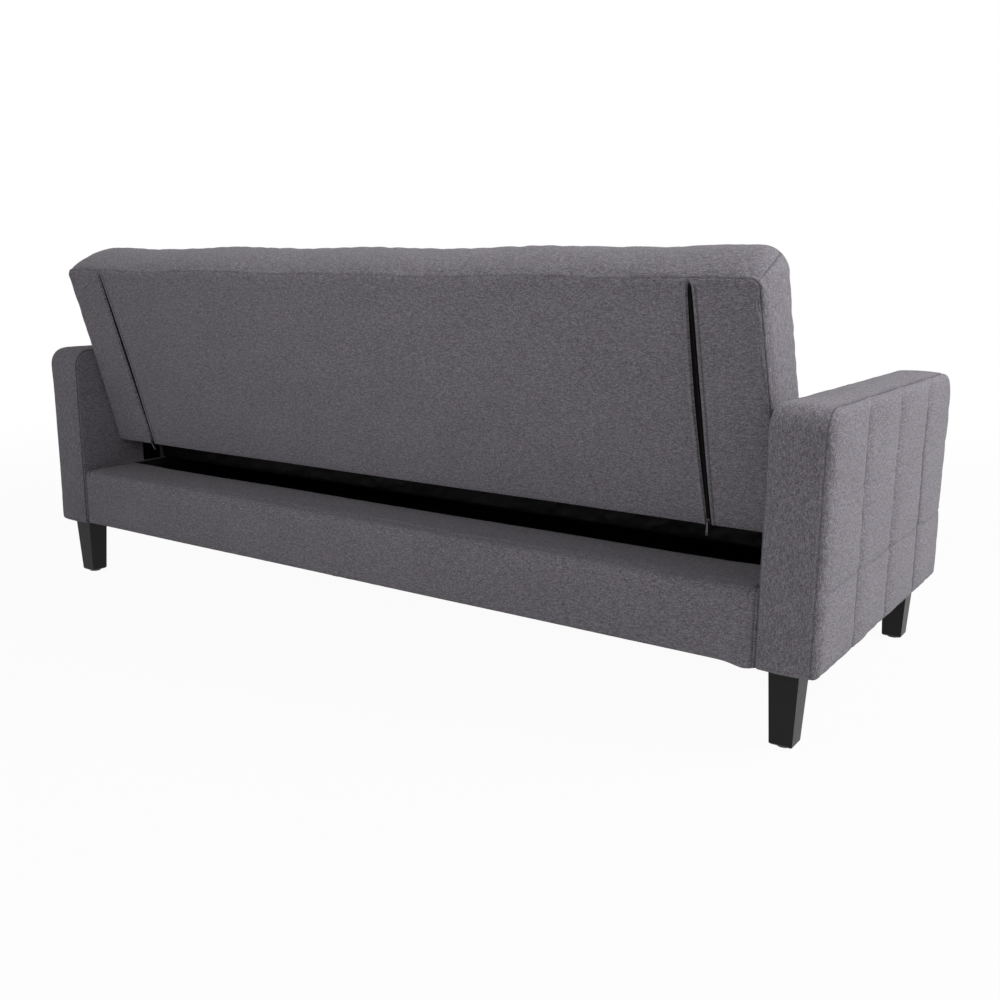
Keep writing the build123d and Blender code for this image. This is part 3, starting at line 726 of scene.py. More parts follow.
def lines(
    start: float, stop: float, marks: tuple = (), near: tuple = (0.002, 0.005, 0.010),
    step: float = 0.012, closest: float = 0.0007,
) -> ndarray:
    """Grid lines that stand closer together beside seams.

    Args:
        start: First line.
        stop: Last line.
        marks: Places of the seams.
        near: Distances of the lines beside a seam.
        step: Widest spacing.
        closest: Lines that stand closer together than this become one.

    Returns:
        The lines in order.
    """
    fixed = {start, stop}
    for mark in marks:
        fixed |= {mark + sign * gap for gap in (0.0, *near) for sign in (-1, 1)}
    ordered = sorted(p for p in fixed if start <= p <= stop)
    kept = [ordered[0]]
    for place in ordered[1:]:
        if place - kept[-1] > closest:
            kept.append(place)
    kept[-1] = stop
    made: list[float] = []
    for low, high in zip(kept, kept[1:]):
        count = max(1, math.ceil((high - low) / step - 1e-6))
        made += [low + (high - low) * i / count for i in range(count)]
    return np.array([*made, stop])


def groove(distance: ndarray, width: float) -> ndarray:
    """A soft groove's depth, 1 on its line and 0 well beside it."""
    return np.exp(-((distance / width) ** 2))


def domes(place: ndarray, seams: ndarray) -> ndarray:
    """Swell between neighbouring seams.

    Args:
        place: Coordinates.
        seams: The seams' coordinates in order, both ends among them.

    Returns:
        0 on each seam and 1 midway.
    """
    cell = np.clip(np.searchsorted(seams, place, side="right") - 1, 0, len(seams) - 2)
    share = np.clip((place - seams[cell]) / (seams[cell + 1] - seams[cell]), 0, 1)
    return (1 - (2 * share - 1) ** 2) ** 0.7


def unevenness(points: ndarray, seed: int, wavelength: float) -> ndarray:
    """Slow waves over a surface, about -1 to 1.

    Args:
        points: Points, three numbers in the last axis.
        seed: Seed of the directions and phases.
        wavelength: Typical wavelength.

    Returns:
        One value for each point.
    """
    dice = np.random.default_rng(seed)
    total = np.zeros(points.shape[:-1])
    for _ in range(7):
        heading = dice.normal(size=3)
        heading *= 2 * math.pi / (np.linalg.norm(heading) * wavelength * dice.uniform(0.6, 1.6))
        total += np.sin(points @ heading + dice.uniform(0, 2 * math.pi))
    return total / 4


def unit(vectors: ndarray) -> ndarray:
    """Vectors at length 1."""
    return vectors / np.maximum(np.linalg.norm(vectors, axis=-1, keepdims=True), 1e-9)


def running(points: ndarray) -> ndarray:
    """Length along a line up to each of its points, from 0."""
    return np.concatenate([[0], np.cumsum(np.linalg.norm(np.diff(points, axis=0), axis=1))])


def weave_chart(first: ndarray, second: ndarray) -> ndarray:
    """Weave coordinates of a grid from those of its columns and rows."""
    return np.stack(np.meshgrid(first, second, indexing="ij"), -1)


def nearest(places: ndarray, mark: float) -> int:
    """Number of the place nearest a mark."""
    return int(np.argmin(np.abs(places - mark)))


def beside(places: ndarray, marks: ndarray) -> ndarray:
    """Distance from each place to the nearest mark."""
    return np.min(np.abs(places[..., None] - marks), -1)


@dataclass
class Sewn:
    """A soft piece on its way through the simulation.

    The points in sewn stay where they are, the others move by no more than swell, and the points of
    each run in even end up on a straight line.
    """

    piece: Object
    start: ndarray
    sewn: ndarray
    swell: ndarray
    pressure: float = 4.0
    slack: float = 0.012
    even: list[ndarray] = field(default_factory=list)


class SewingRoom:
    """Inflates every soft piece with one cloth simulation, then smooths it."""

    FRAMES = 20

    def __init__(self) -> None:
        """Start with nothing on the table."""
        self.pieces: list[Sewn] = []

    def take(self, sewn: Sewn) -> None:
        """Add a piece to the next run."""
        self.pieces.append(sewn)

    def stuff(self) -> None:
        """Simulate all pieces together, cap their movement, apply it and subdivide once."""
        scene = bpy.context.scene
        for sewn in self.pieces:
            self._set_up(sewn)
        for step in range(1, self.FRAMES + 1):
            scene.frame_set(step)
        for sewn in self.pieces:
            self._apply(sewn)
        scene.frame_set(1)
        for sewn in self.pieces:
            smooth = sewn.piece.modifiers.new("smooth", "SUBSURF")
            smooth.levels = smooth.render_levels = 1
            settle(sewn.piece)
            shade_smooth(sewn.piece.data)
            log.info("stuffed %s: %d faces", sewn.piece.name, len(sewn.piece.data.polygons))

    def _set_up(self, sewn: Sewn) -> None:
        """Put a Cloth modifier on a piece.

        Args:
            sewn: The piece.
        """
        group = sewn.piece.vertex_groups.new(name="sewn")
        group.add(np.flatnonzero(sewn.sewn).tolist(), 1.0, "REPLACE")
        cloth = sewn.piece.modifiers.new("stuffing", "CLOTH")
        cloth.point_cache.frame_end = self.FRAMES
        rules = cloth.settings
        rules.quality = 4
        rules.mass = 0.35
        rules.tension_stiffness = rules.compression_stiffness = 22
        rules.shear_stiffness = 8
        rules.bending_stiffness = 0.6
        rules.vertex_group_mass = "sewn"
        rules.use_pressure = True
        rules.uniform_pressure_force = sewn.pressure
        rules.shrink_min = -sewn.slack
        rules.effector_weights.gravity = 0
        cloth.collision_settings.use_collision = False
        cloth.collision_settings.use_self_collision = False

    def _apply(self, sewn: Sewn) -> None:
        """Keep a piece's simulated shape, no further from its start than it may swell.

        Args:
            sewn: The piece.
        """
        graph = bpy.context.evaluated_depsgraph_get()
        shaped = sewn.piece.evaluated_get(graph).data
        points = np.empty(len(shaped.vertices) * 3)
        shaped.vertices.foreach_get("co", points)
        moved = points.reshape(-1, 3) - sewn.start
        far = np.maximum(np.linalg.norm(moved, axis=1), 1e-9)
        moved *= (sewn.swell * np.tanh(far / np.maximum(sewn.swell, 1e-6)) / far)[:, None]
        moved[~np.isfinite(moved).all(1)] = 0
        sewn.piece.modifiers.clear()
        sewn.piece.vertex_groups.clear()
        shape = sewn.start + moved
        for run in sewn.even:
            first, last = shape[run[0]], shape[run[-1]]
            span = sewn.start[run[-1]] - sewn.start[run[0]]
            along = (sewn.start[run] - sewn.start[run[0]]) @ span
            share = np.clip(along / max(along[-1], 1e-9), 0, 1)[:, None]
            shape[run] = first * (1 - share) + last * share
        sewn.piece.data.vertices.foreach_set("co", shape.ravel())
        sewn.piece.data.update()


class Casing:
    """A closed padded form: two matching face grids joined round their edges by boxing."""

    TURNS = (22.5, 45.0, 67.5, 90.0)
    BESIDE_SEAM = 9.0
    BESIDE_ROLL = (0.022, 0.065, 0.935, 0.978)

    def __init__(self, face: ndarray, rear: ndarray) -> None:
        """Take the two face grids.

        Args:
            face: Points of the first face, columns by rows by 3.
            rear: Points of the other face, in the same order.
        """
        self.face, self.rear = face, rear
        columns, rows = face.shape[:2]
        ring = [(i, 0) for i in range(columns)] + [(columns - 1, j) for j in range(1, rows)]
        ring += [(i, rows - 1) for i in range(columns - 2, -1, -1)]
        ring += [(0, j) for j in range(rows - 2, 0, -1)]
        self.ring = np.array(ring)
        self.face_edge, self.rear_edge = self.edge(face), self.edge(rear)
        self.boxing = np.zeros((0, len(ring), 3))
        self.face_seam = self.rear_seam = 0
        # Share of painted shade for each point, set along seams, channels and folds.
        self.crease = np.zeros(0)

    def edge(self, grid: ndarray) -> ndarray:
        """What a face's grid holds round its edge, in order."""
        return grid[self.ring[:, 0], self.ring[:, 1]]

    def edge_place(self, column: int, row: int) -> int:
        """Place along the edge of a face's grid point."""
        return int(np.flatnonzero((self.ring == (column, row)).all(1))[0])

    def _roll(
        self, edge: ndarray, swing: ndarray, drop: ndarray, seam: float, dent: ndarray
    ) -> tuple[list[ndarray], int]:
        """Rows of a rolled edge, with a seam drawn in along one of them.

        Args:
            edge: The face's edge points.
            swing: From the edge out to the full outline.
            drop: From the face's plane to the end of the roll.
            seam: The turn at which the seam lies, in degrees.
            dent: How far the seam is drawn in, for each edge point.

        Returns:
            The rows from the face outward, and the seam's place among them.
        """
        drop = np.broadcast_to(drop, swing.shape)
        after = min(seam + self.BESIDE_SEAM, 90.0)
        turns = sorted({*self.TURNS, seam, seam - self.BESIDE_SEAM, after})
        rows = []
        for turn in np.radians(turns):
            row = edge + swing * math.sin(turn) + drop * (1 - math.cos(turn))
            if abs(turn - math.radians(seam)) < 1e-6:
                inward = unit(drop) * math.cos(turn) - unit(swing) * math.sin(turn)
                row = row + inward * dent[:, None]
            rows.append(row)
        return rows, turns.index(seam)

    def box(
        self, face_swing: ndarray, face_drop: ndarray, rear_swing: ndarray, rear_drop: ndarray,
        steps: int, crown: ndarray, seams: tuple[float, float], dent: ndarray,
    ) -> None:
        """Join the faces by rolled edges and a crowned strip.

        Args:
            face_swing: From the first face's edge out to the full outline, for each edge point.
            face_drop: From the first face's plane to the end of its roll.
            rear_swing: The same for the other face.
            rear_drop: The same for the other face.
            steps: Strips between the two rolls.
            crown: Swell of the strip midway, for each edge point.
            seams: The turn of each roll that carries the seam, in degrees.
            dent: How far a seam is drawn in, for each edge point.
        """
        first, face_seam = self._roll(self.face_edge, face_swing, face_drop, seams[0], dent)
        last, rear_seam = self._roll(self.rear_edge, rear_swing, rear_drop, seams[1], dent)
        outward = unit(face_swing + rear_swing)
        start = self.face_edge + face_swing + face_drop
        stop = self.rear_edge + rear_swing + rear_drop
        middle = []
        for share in sorted({*self.BESIDE_ROLL, *(i / steps for i in range(1, steps))}):
            swell = crown[:, None] * (1 - (2 * share - 1) ** 2) * outward
            middle.append(start * (1 - share) + stop * share + swell)
        self.boxing = np.array([*first, *middle, *last[::-1]])
        self.face_seam = face_seam
        self.rear_seam = len(self.boxing) - 1 - rear_seam
        # Painted shade: full share on each seam row that is drawn in.
        self.crease = np.zeros(len(self.points))
        self.crease[self.seam_ids()[:, dent > 0].ravel()] = 1.0

    @property
    def points(self) -> ndarray:
        """All points: first face, other face, then the boxing."""
        return np.concatenate([a.reshape(-1, 3) for a in (self.face, self.rear, self.boxing)])

    def face_ids(self) -> ndarray:
        """Point numbers of the first face's grid."""
        return np.arange(self.face.shape[0] * self.face.shape[1]).reshape(self.face.shape[:2])

    def rear_ids(self) -> ndarray:
        """Point numbers of the other face's grid."""
        return self.face_ids() + self.face_ids().size

    def boxing_ids(self) -> ndarray:
        """Point numbers of the boxing, rows by edge points."""
        shape = self.boxing.shape[:2]
        return np.arange(shape[0] * shape[1]).reshape(shape) + 2 * self.face_ids().size

    def seam_ids(self) -> ndarray:
        """Point numbers of the two seams, the first face's first."""
        return self.boxing_ids()[[self.face_seam, self.rear_seam]]

    def held(self, *ids: ndarray) -> ndarray:
        """Where the form is sewn down.

        Args:
            ids: Point numbers that are sewn down beside the two seams.

        Returns:
            True or False for each point.
        """
        made = np.zeros(len(self.points), bool)
        for group in (self.seam_ids(), *ids):
            made[group.ravel()] = True
        return made

    def sew(self, name: str, material: Material, face_map: ndarray, rear_map: ndarray) -> Object:
        """Make the closed mesh with its weave map.

        Args:
            name: The piece's name.
            material: Its fabric.
            face_map: Weave coordinates of the first face.
            rear_map: Weave coordinates of the other face.

        Returns:
            The piece.
        """
        face_ids, rear_ids = self.face_ids(), self.rear_ids()
        strip = np.array([self.edge(face_ids), *self.boxing_ids(), self.edge(rear_ids)]).T
        strip = np.concatenate([strip, strip[:1]])
        at = self.points[strip]
        along = running(at[:, at.shape[1] // 2])
        across = np.concatenate([[0], np.cumsum(np.linalg.norm(np.diff(at, axis=1), axis=2).mean(0))])
        panels = [(face_ids, face_map), (rear_ids, rear_map), (strip, weave_chart(along, across))]
        return sew_panels(name, self.points, panels, self.crease, material)


def sew_panels(
    name: str, points: ndarray, panels: list[tuple[ndarray, ndarray]], crease: ndarray,
    material: Material,
) -> Object:
    """Make a piece from grids of point numbers.

    Args:
        name: The piece's name.
        points: Its points.
        panels: Each grid's point numbers and weave coordinates.
        crease: Share of painted shade on each point, 0 to 1, most along seams.
        material: Its fabric.

    Returns:
        The piece.
    """
    bm = bmesh.new()
    weave = bm.loops.layers.uv.new(WEAVE_MAP)
    verts = [bm.verts.new(p) for p in points]
    for ids, chart in panels:
        quads, spots_of = (
            np.stack([a[:-1, :-1], a[1:, :-1], a[1:, 1:], a[:-1, 1:]], 2) for a in (ids, chart)
        )
        for quad, spots in zip(quads.reshape(-1, 4).tolist(), spots_of.reshape(-1, 4, 2).tolist()):
            for loop, spot in zip(bm.faces.new([verts[i] for i in quad]).loops, spots):
                loop[weave].uv = spot
    bmesh.ops.recalc_face_normals(bm, faces=bm.faces)
    piece = take_off(bm, name, material)
    depth = piece.data.attributes.new(SEAM_SHADE, "FLOAT", "POINT")
    depth.data.foreach_set("value", crease.astype(np.float32))
    return piece


def sew_sheet(name: str, grid: ndarray, first: ndarray, second: ndarray, material: Material) -> Object:
    """Make a single sheet.

    Args:
        name: The piece's name.
        grid: Its points, columns by rows by 3.
        first: Weave coordinate of the columns.
        second: Weave coordinate of the rows.
        material: Its cloth.

    Returns:
        The piece.
    """
    ids = np.arange(grid.shape[0] * grid.shape[1]).reshape(grid.shape[:2])
    panel = (ids, weave_chart(first, second))
    return sew_panels(name, grid.reshape(-1, 3), [panel], np.zeros(ids.size), material)


def edge_swing(edge: ndarray, right: ndarray, up: ndarray, sizes: tuple[float, float, float]) -> ndarray:
    """How far each edge point of a face lies inside the form's full outline.

    Args:
        edge: The face's edge points in order.
        right: The face's own sideways axis.
        up: The face's own upward axis.
        sizes: The inset at the sides, at the top and at the bottom.

    Returns:
        One vector for each edge point.
    """
    edge = (edge @ right)[:, None] * right + (edge @ up)[:, None] * up
    ahead = np.roll(edge, -1, 0) - edge
    behind = edge - np.roll(edge, 1, 0)
    tangent = unit(unit(ahead) + unit(behind))
    tangent = tangent / np.maximum((tangent * unit(ahead)).sum(1, keepdims=True), SHARPEST)
    outward_right, outward_up = tangent @ up, -(tangent @ right)
    middle = edge.mean(0)
    out = edge - middle
    flip = np.sign(np.sum(outward_right * (out @ right) + outward_up * (out @ up)))
    outward_right, outward_up = outward_right * flip, outward_up * flip
    rise = np.where(outward_up > 0, sizes[1], sizes[2])
    return (outward_right * sizes[0])[:, None] * right + (outward_up * rise)[:, None] * up


class Rows:
    """Rows of small parts along paths on a surface, repeated by geometry nodes."""

    SIZES = ("Pitch", "Length", "Width", "Height")

    def __init__(self, name: str, bead: Bead) -> None:
        """Start with no paths.

        Args:
            name: The finished piece's name.
            bead: The part that repeats.
        """
        self.name, self.bead = name, bead
        self.spots: list[ndarray] = []
        self.lifts: list[ndarray] = []

    def follow(self, spots: ndarray, lifts: ndarray) -> None:
        """Add a path."""
        self.spots.append(spots)
        self.lifts.append(lifts)

    def follow_mesh(self, piece: Object, ids: ndarray, lift: float) -> None:
        """Add a path along points of a finished piece.

        Args:
            piece: The piece.
            ids: Its point numbers in order.
            lift: Height above the surface.
        """
        verts = piece.data.vertices
        up = np.array([verts[int(i)].normal for i in ids])
        self.follow(np.array([verts[int(i)].co for i in ids]) + up * lift, up)

    def _tree(self) -> NodeTree:
        """Build the node tree that places the parts.

        Returns:
            The tree.
        """
        tree = bpy.data.node_groups.new(self.name + "_rows", "GeometryNodeTree")
        g = Graph(tree)
        tree.interface.new_socket("Geometry", in_out="INPUT", socket_type="NodeSocketGeometry")
        for label in self.SIZES:
            tree.interface.new_socket(label, in_out="INPUT", socket_type="NodeSocketFloat")
        tree.interface.new_socket("Finish", in_out="INPUT", socket_type="NodeSocketMaterial")
        tree.interface.new_socket("Geometry", in_out="OUTPUT", socket_type="NodeSocketGeometry")
        given = g.node("NodeGroupInput")
        curve = g.node("GeometryNodeMeshToCurve", sockets={"Mesh": g.out(given, "Geometry")})
        even = g.node(
            "GeometryNodeResampleCurve", {"mode": "LENGTH"},
            {"Curve": g.out(curve), "Length": g.out(given, "Pitch")},
        )
        lift = g.node("GeometryNodeInputNamedAttribute", {"data_type": "FLOAT_VECTOR"}, {"Name": "lift"})
        turn = g.node(
            "FunctionNodeAxesToRotation", {"primary_axis": "X", "secondary_axis": "Z"},
            {0: g.out(g.node("GeometryNodeInputTangent")), 1: g.out(lift, "Attribute")},
        )
        ball = {"Segments": 6, "Rings": 5, "Radius": 0.5}
        if self.bead is Bead.STITCH:
            part = g.node("GeometryNodeMeshUVSphere", sockets=ball)
        else:
            part = g.node("GeometryNodeMeshCube")
        soft = g.node(
            "GeometryNodeSetShadeSmooth",
            sockets={"Geometry": g.out(part, "Mesh"), "Shade Smooth": self.bead is Bead.STITCH},
        )
        size = g.node("ShaderNodeCombineXYZ", sockets={i: g.out(given, 2 + i) for i in range(3)})
        placed = g.node(
            "GeometryNodeInstanceOnPoints",
            sockets={
                "Points": g.out(even),
                "Instance": g.out(soft),
                "Rotation": g.out(turn),
                "Scale": g.out(size),
            },
        )
        real = g.node("GeometryNodeRealizeInstances", sockets={"Geometry": g.out(placed)})
        dressed = g.node(
            "GeometryNodeSetMaterial",
            sockets={"Geometry": g.out(real), "Material": g.out(given, "Finish")},
        )
        g.node("NodeGroupOutput", sockets={"Geometry": g.out(dressed)})
        return tree

    def make(self, pitch: float, size: tuple[float, float, float], finish: Material) -> Object:
        """Make the rows as one plain mesh.

        Args:
            pitch: Spacing along the paths.
            size: Each part's length, width and height.
            finish: Its material.

        Returns:
            The piece.
        """
        mesh = bpy.data.meshes.new(self.name)
        edges, count = [], 0
        for path in self.spots:
            edges += [(count + i, count + i + 1) for i in range(len(path) - 1)]
            count += len(path)
        mesh.from_pydata(np.concatenate(self.spots).tolist(), edges, [])
        mesh.attributes.new("lift", "FLOAT_VECTOR", "POINT").data.foreach_set(
            "vector", np.concatenate(self.lifts).astype(np.float32).ravel()
        )
        piece = add_object(self.name, mesh)
        tree = self._tree()
        rows = piece.modifiers.new("rows", "NODES")
        rows.node_group = tree
        keys = {i.name: i.identifier for i in tree.interface.items_tree if i.in_out == "INPUT"}
        for label, value in zip((*self.SIZES, "Finish"), (pitch, *size, finish)):
            rows[keys[label]] = value
        settle(piece)
        log.info("made %s: %d faces", self.name, len(piece.data.polygons))
        return piece


def stitch(name: str, piece: Object, paths: list[ndarray], lift: float) -> Rows:
    """Lay out rows of stitches on a finished cover.

    Args:
        name: The stitches' name.
        piece: The cover.
        paths: The cover's point numbers along each row.
        lift: The stitches' height above it.

    Returns:
        The rows, ready to be made.
    """
    rows = Rows(name, Bead.STITCH)
    for ids in paths:
        rows.follow_mesh(piece, ids, lift)
    return rows


@dataclass(frozen=True)
class Quilting:
    """The seams sewn across and along a cushion's face, its edges counted as seams too."""

    across: ndarray
    along: ndarray
    depth: float = 0.004
    width: float = 0.0035
    along_share: float = 0.8
    # Share of painted shade along the quilted seams.
    crease: float = 0.8
    on_seam: float = 0.0004
    pitch: float = 0.0062
    stitch: tuple = (0.0046, 0.0011, 0.0009)
    lift: float = 0.0002

    def _near(self, x: ndarray, y: ndarray) -> tuple[ndarray, ndarray]:
        """Distance from each point to the nearest inner seam of each kind."""
        return beside(x[:, :1], self.across[1:-1]) + 0 * y, beside(y, self.along[1:-1])

    def sink(self, x: ndarray, y: ndarray, inside: ndarray) -> ndarray:
        """How far the sewing draws the face in."""
        seam, level = (groove(near, self.width) for near in self._near(x, y))
        return self.depth * inside * np.maximum(seam, self.along_share * level)

    def sewn(self, x: ndarray, y: ndarray) -> ndarray:
        """Whether each point lies on a seam."""
        seam, level = self._near(x, y)
        return (seam < self.on_seam) | (level < self.on_seam)

    def paths(self, ids: ndarray, x: ndarray, y: ndarray, ends: tuple[slice, slice]) -> list[ndarray]:
        """Point numbers along every inner seam."""
        made = [ids[nearest(x[:, 0], seam), ends[0]] for seam in self.across[1:-1]]
        return made + [ids[ends[1], nearest(y[0], level)] for level in self.along[1:-1]]


@dataclass
class Arm:
    """One arm: quilted outer panel, band over rear, top and front, plain inner panel."""

    # Turns of the grid's rows round the top corners, in degrees.
    CORNER = (12, 24, 36, 48, 60, 72, 81, 90)

    side: Side
    finishes: Finishes
    seam_x: float = 1.050
    inner_x: float = 0.9478
    outer_swell: float = 0.0085
    front: float = -0.420
    rear: float = 0.420
    bottom: float = 0.1466
    top: float = 0.616
    front_radius: float = 0.062
    rear_radius: float = 0.044
    side_roll: float = 0.016
    top_roll: float = 0.010
    inner_roll: float = 0.006
    inner_drop: float = 0.005
    under_roll: float = 0.007
    columns: int = 4
    rows: int = 3
    dome: float = 0.0026
    row_dome: float = 0.0010
    channel_depth: float = 0.0042
    channel_width: float = 0.0024
    # Share of painted shade along the channels.
    channel_shade: float = 0.85
    fade_gap: float = 0.012
    fade_run: float = 0.03
    tuck_depth: float = 0.0013
    tuck_width: float = 0.004
    # Share of painted shade along the tucks.
    tuck_shade: float = 0.42
    sag: float = 0.0008
    band_steps: int = 9
    band_crown: float = 0.0022
    band_sink: float = 0.002
    seam_turns: tuple = (90.0, 22.5)
    seam_dent: float = 0.0019
    panel_give: float = 0.0024
    band_give: float = 0.0020
    slack: float = 0.010
    fill: float = 0.8
    pitch: float = 0.0058
    stitch: tuple = (0.0044, 0.0009, 0.0008)
    lift: float = 0.0001

    def _grid(self, side_roll: float, top_roll: float) -> tuple[ndarray, ndarray]:
        """Depth and height of a side panel's grid points.

        Args:
            side_roll: How far the panel ends inside the arm's outline at front and rear.
            top_roll: The same at the top.

        Returns:
            Two arrays, columns by rows.
        """
        low, high = self.front + side_roll, self.rear - side_roll
        across = lines(self.front, self.rear, tuple(self._channels()[1:-1]))
        foot, head = self.bottom + self.under_roll, self.top - top_roll
        rise = self.front_radius - top_roll
        shoulder = self.top - self.front_radius
        straight = lines(self.bottom, shoulder, tuple(self._tucks()[1:-1]))
        straight = foot + (straight - self.bottom) * (head - rise - foot) / (shoulder - self.bottom)
        corner = head - rise * (1 - np.sin(np.radians(self.CORNER)))
        z = np.concatenate([straight, corner])

        def inset(radius: float) -> ndarray:
            """How far a rounded corner draws each row in."""
            share = np.clip((z - head + (radius - top_roll)) / (radius - top_roll), 0, 1)
            return (radius - side_roll) * (1 - np.sqrt(1 - share**2))

        y_low, y_high = low + inset(self.front_radius), high - inset(self.rear_radius)
        share = (across - self.front) / (self.rear - self.front)
        y = y_low[None, :] + share[:, None] * (y_high - y_low)[None, :]
        return y, np.broadcast_to(z, y.shape)

    def _channels(self) -> ndarray:
        """Depths of the upright sewn channels, both ends among them."""
        return np.linspace(self.front, self.rear, self.columns + 1)

    def _tucks(self) -> ndarray:
        """Heights of the level tucks, both ends among them."""
        return np.linspace(self.bottom, self.top, self.rows + 1)

    def build(self, room: SewingRoom) -> None:
        """Cut and sew the arm's cover and hand it to the sewing room.

        Args:
            room: The sewing room.
        """
        sign = self.side.value
        y, z = self._grid(self.side_roll, self.top_roll)
        y_in, z_in = self._grid(self.inner_roll, self.inner_roll)
        faint = self._faint(y, z)
        fade = np.clip((self.top - self.fade_gap - z) / self.fade_run, 0.0, 1)
        outer = np.stack([sign * self._outer_x(y, z, faint, fade), y, z], -1)
        inner = np.stack([np.full_like(y_in, sign * self.inner_x), y_in, z_in], -1)
        casing = Casing(outer, inner)
        rolls = (self.side_roll, self.top_roll, self.under_roll)
        inner_rolls = (self.inner_roll, self.inner_roll, self.under_roll)
        face_swing = edge_swing(casing.face_edge, REARWARD, UPWARD, rolls)
        rear_swing = edge_swing(casing.rear_edge, REARWARD, UPWARD, inner_rolls)
        drop_out = np.zeros_like(face_swing)
        drop_out[:, 0] = sign * (self.seam_x - self.band_sink) - casing.face_edge[:, 0]
        drop_in = sign * self.inner_drop * SIDEWAYS
        below = unit(face_swing)[:, 2] < -0.5
        crown, dent = (np.where(below, 0.0, size) for size in (self.band_crown, self.seam_dent))
        casing.box(face_swing, drop_out, rear_swing, drop_in, self.band_steps, crown, self.seam_turns, dent)
        ids, boxing = casing.face_ids(), casing.boxing_ids()
        channels = [nearest(y[:, 0], c) for c in self._channels()[1:-1]]
        # Painted shade along the band's seams, the channels and the tucks.
        self._paint_seam_shade(casing, unit(face_swing)[:, 2], below)
        for column in channels:
            casing.crease[ids[column]] = self.channel_shade * fade[column]
        for tuck in self._tucks()[1:-1]:
            row = nearest(z[0], tuck)
            deep = self.tuck_shade * faint[:, row]
            casing.crease[ids[:, row]] = np.maximum(casing.crease[ids[:, row]], deep)
        charts = np.stack([y, z], -1), np.stack([y_in, z_in], -1)
        self.piece = casing.sew(f"{self.side.word}_arm_cover", self.finishes.fabric, *charts)
        start = casing.points
        held = casing.held(casing.rear_ids(), ids[channels])
        held |= start[:, 2] < self.bottom + 0.001
        give = np.full(len(start), self.band_give)
        give[ids.ravel()] = self.panel_give
        room.take(Sewn(self.piece, start, held, give, slack=self.slack))
        band = slice(y.shape[0] + 1, len(casing.ring) - 2)
        self.paths = [ids[column, 1:-5] for column in channels]
        self.paths += [boxing[casing.face_seam + 2, band], boxing[casing.rear_seam - 6, band]]

    def _seed(self) -> int:
        """Seed of this arm's own unevenness."""
        return 11 if self.side is Side.LEFT else 23

    def _faint(self, y: ndarray, z: ndarray) -> ndarray:
        """How plainly the level tucks show, from place to place."""
        waves = unevenness(np.stack([y, z, z * 0], -1), self._seed(), 0.35)
        return np.clip(0.6 + 0.5 * waves, 0.1, 1)

    def _outer_x(self, y: ndarray, z: ndarray, faint: ndarray, fade: ndarray) -> ndarray:
        """How far out the quilted panel stands.

        Args:
            y: Depths of its points.
            z: Heights of its points.
            faint: How plainly the tucks show.
            fade: How plainly the channels show.

        Returns:
            The distance from the sofa's middle.
        """
        channels, tucks = self._channels(), self._tucks()
        near_channel = beside(y[:, :1], channels[1:-1]) + 0 * z
        x = self.seam_x + self.outer_swell + self.dome * domes(y, channels)
        x = x + self.row_dome * domes(z, tucks)
        x -= self.channel_depth * groove(near_channel, self.channel_width) * fade
        x -= self.tuck_depth * faint * groove(beside(z, tucks[1:-1]), self.tuck_width)
        x += self.sag * unevenness(np.stack([y, z, z * 0], -1), self._seed() + 1, 0.22)
        return x

    @staticmethod
    def _paint_seam_shade(casing: Casing, upward: ndarray, below: ndarray) -> None:
        """Paint shade into the band's seams: plain over the top, fainter down front and rear.

        Args:
            casing: The arm's form.
            upward: How far each edge point faces up.
            below: Whether it lies under the arm.
        """
        over_top = np.clip((upward - 0.3) / 0.5, 0, 1)
        boxing = casing.boxing_ids()
        casing.crease[boxing[casing.face_seam]] *= 0.48 + 0.52 * over_top
        casing.crease[boxing[casing.face_seam + 1]] = 0.35 * over_top
        casing.crease[boxing[casing.rear_seam]] *= 0.95
        casing.crease[boxing[casing.rear_seam - 1]] = 0.75 * (1 - below)

    def finish(self) -> None:
        """Stitch the channels and the band and join the pieces to the frame."""
        word = self.side.word
        pads = [f"{word}_arm_{part}" for part in ("band", "inner_pad", "outer_pad")]
        join(self.piece, "base", "grey_fabric", *pads, fill=self.fill)
        rows = stitch(f"{word}_arm_stitches", self.piece, self.paths, self.lift)
        join(rows.make(self.pitch, self.stitch, self.finishes.thread), "base", "grey_fabric")


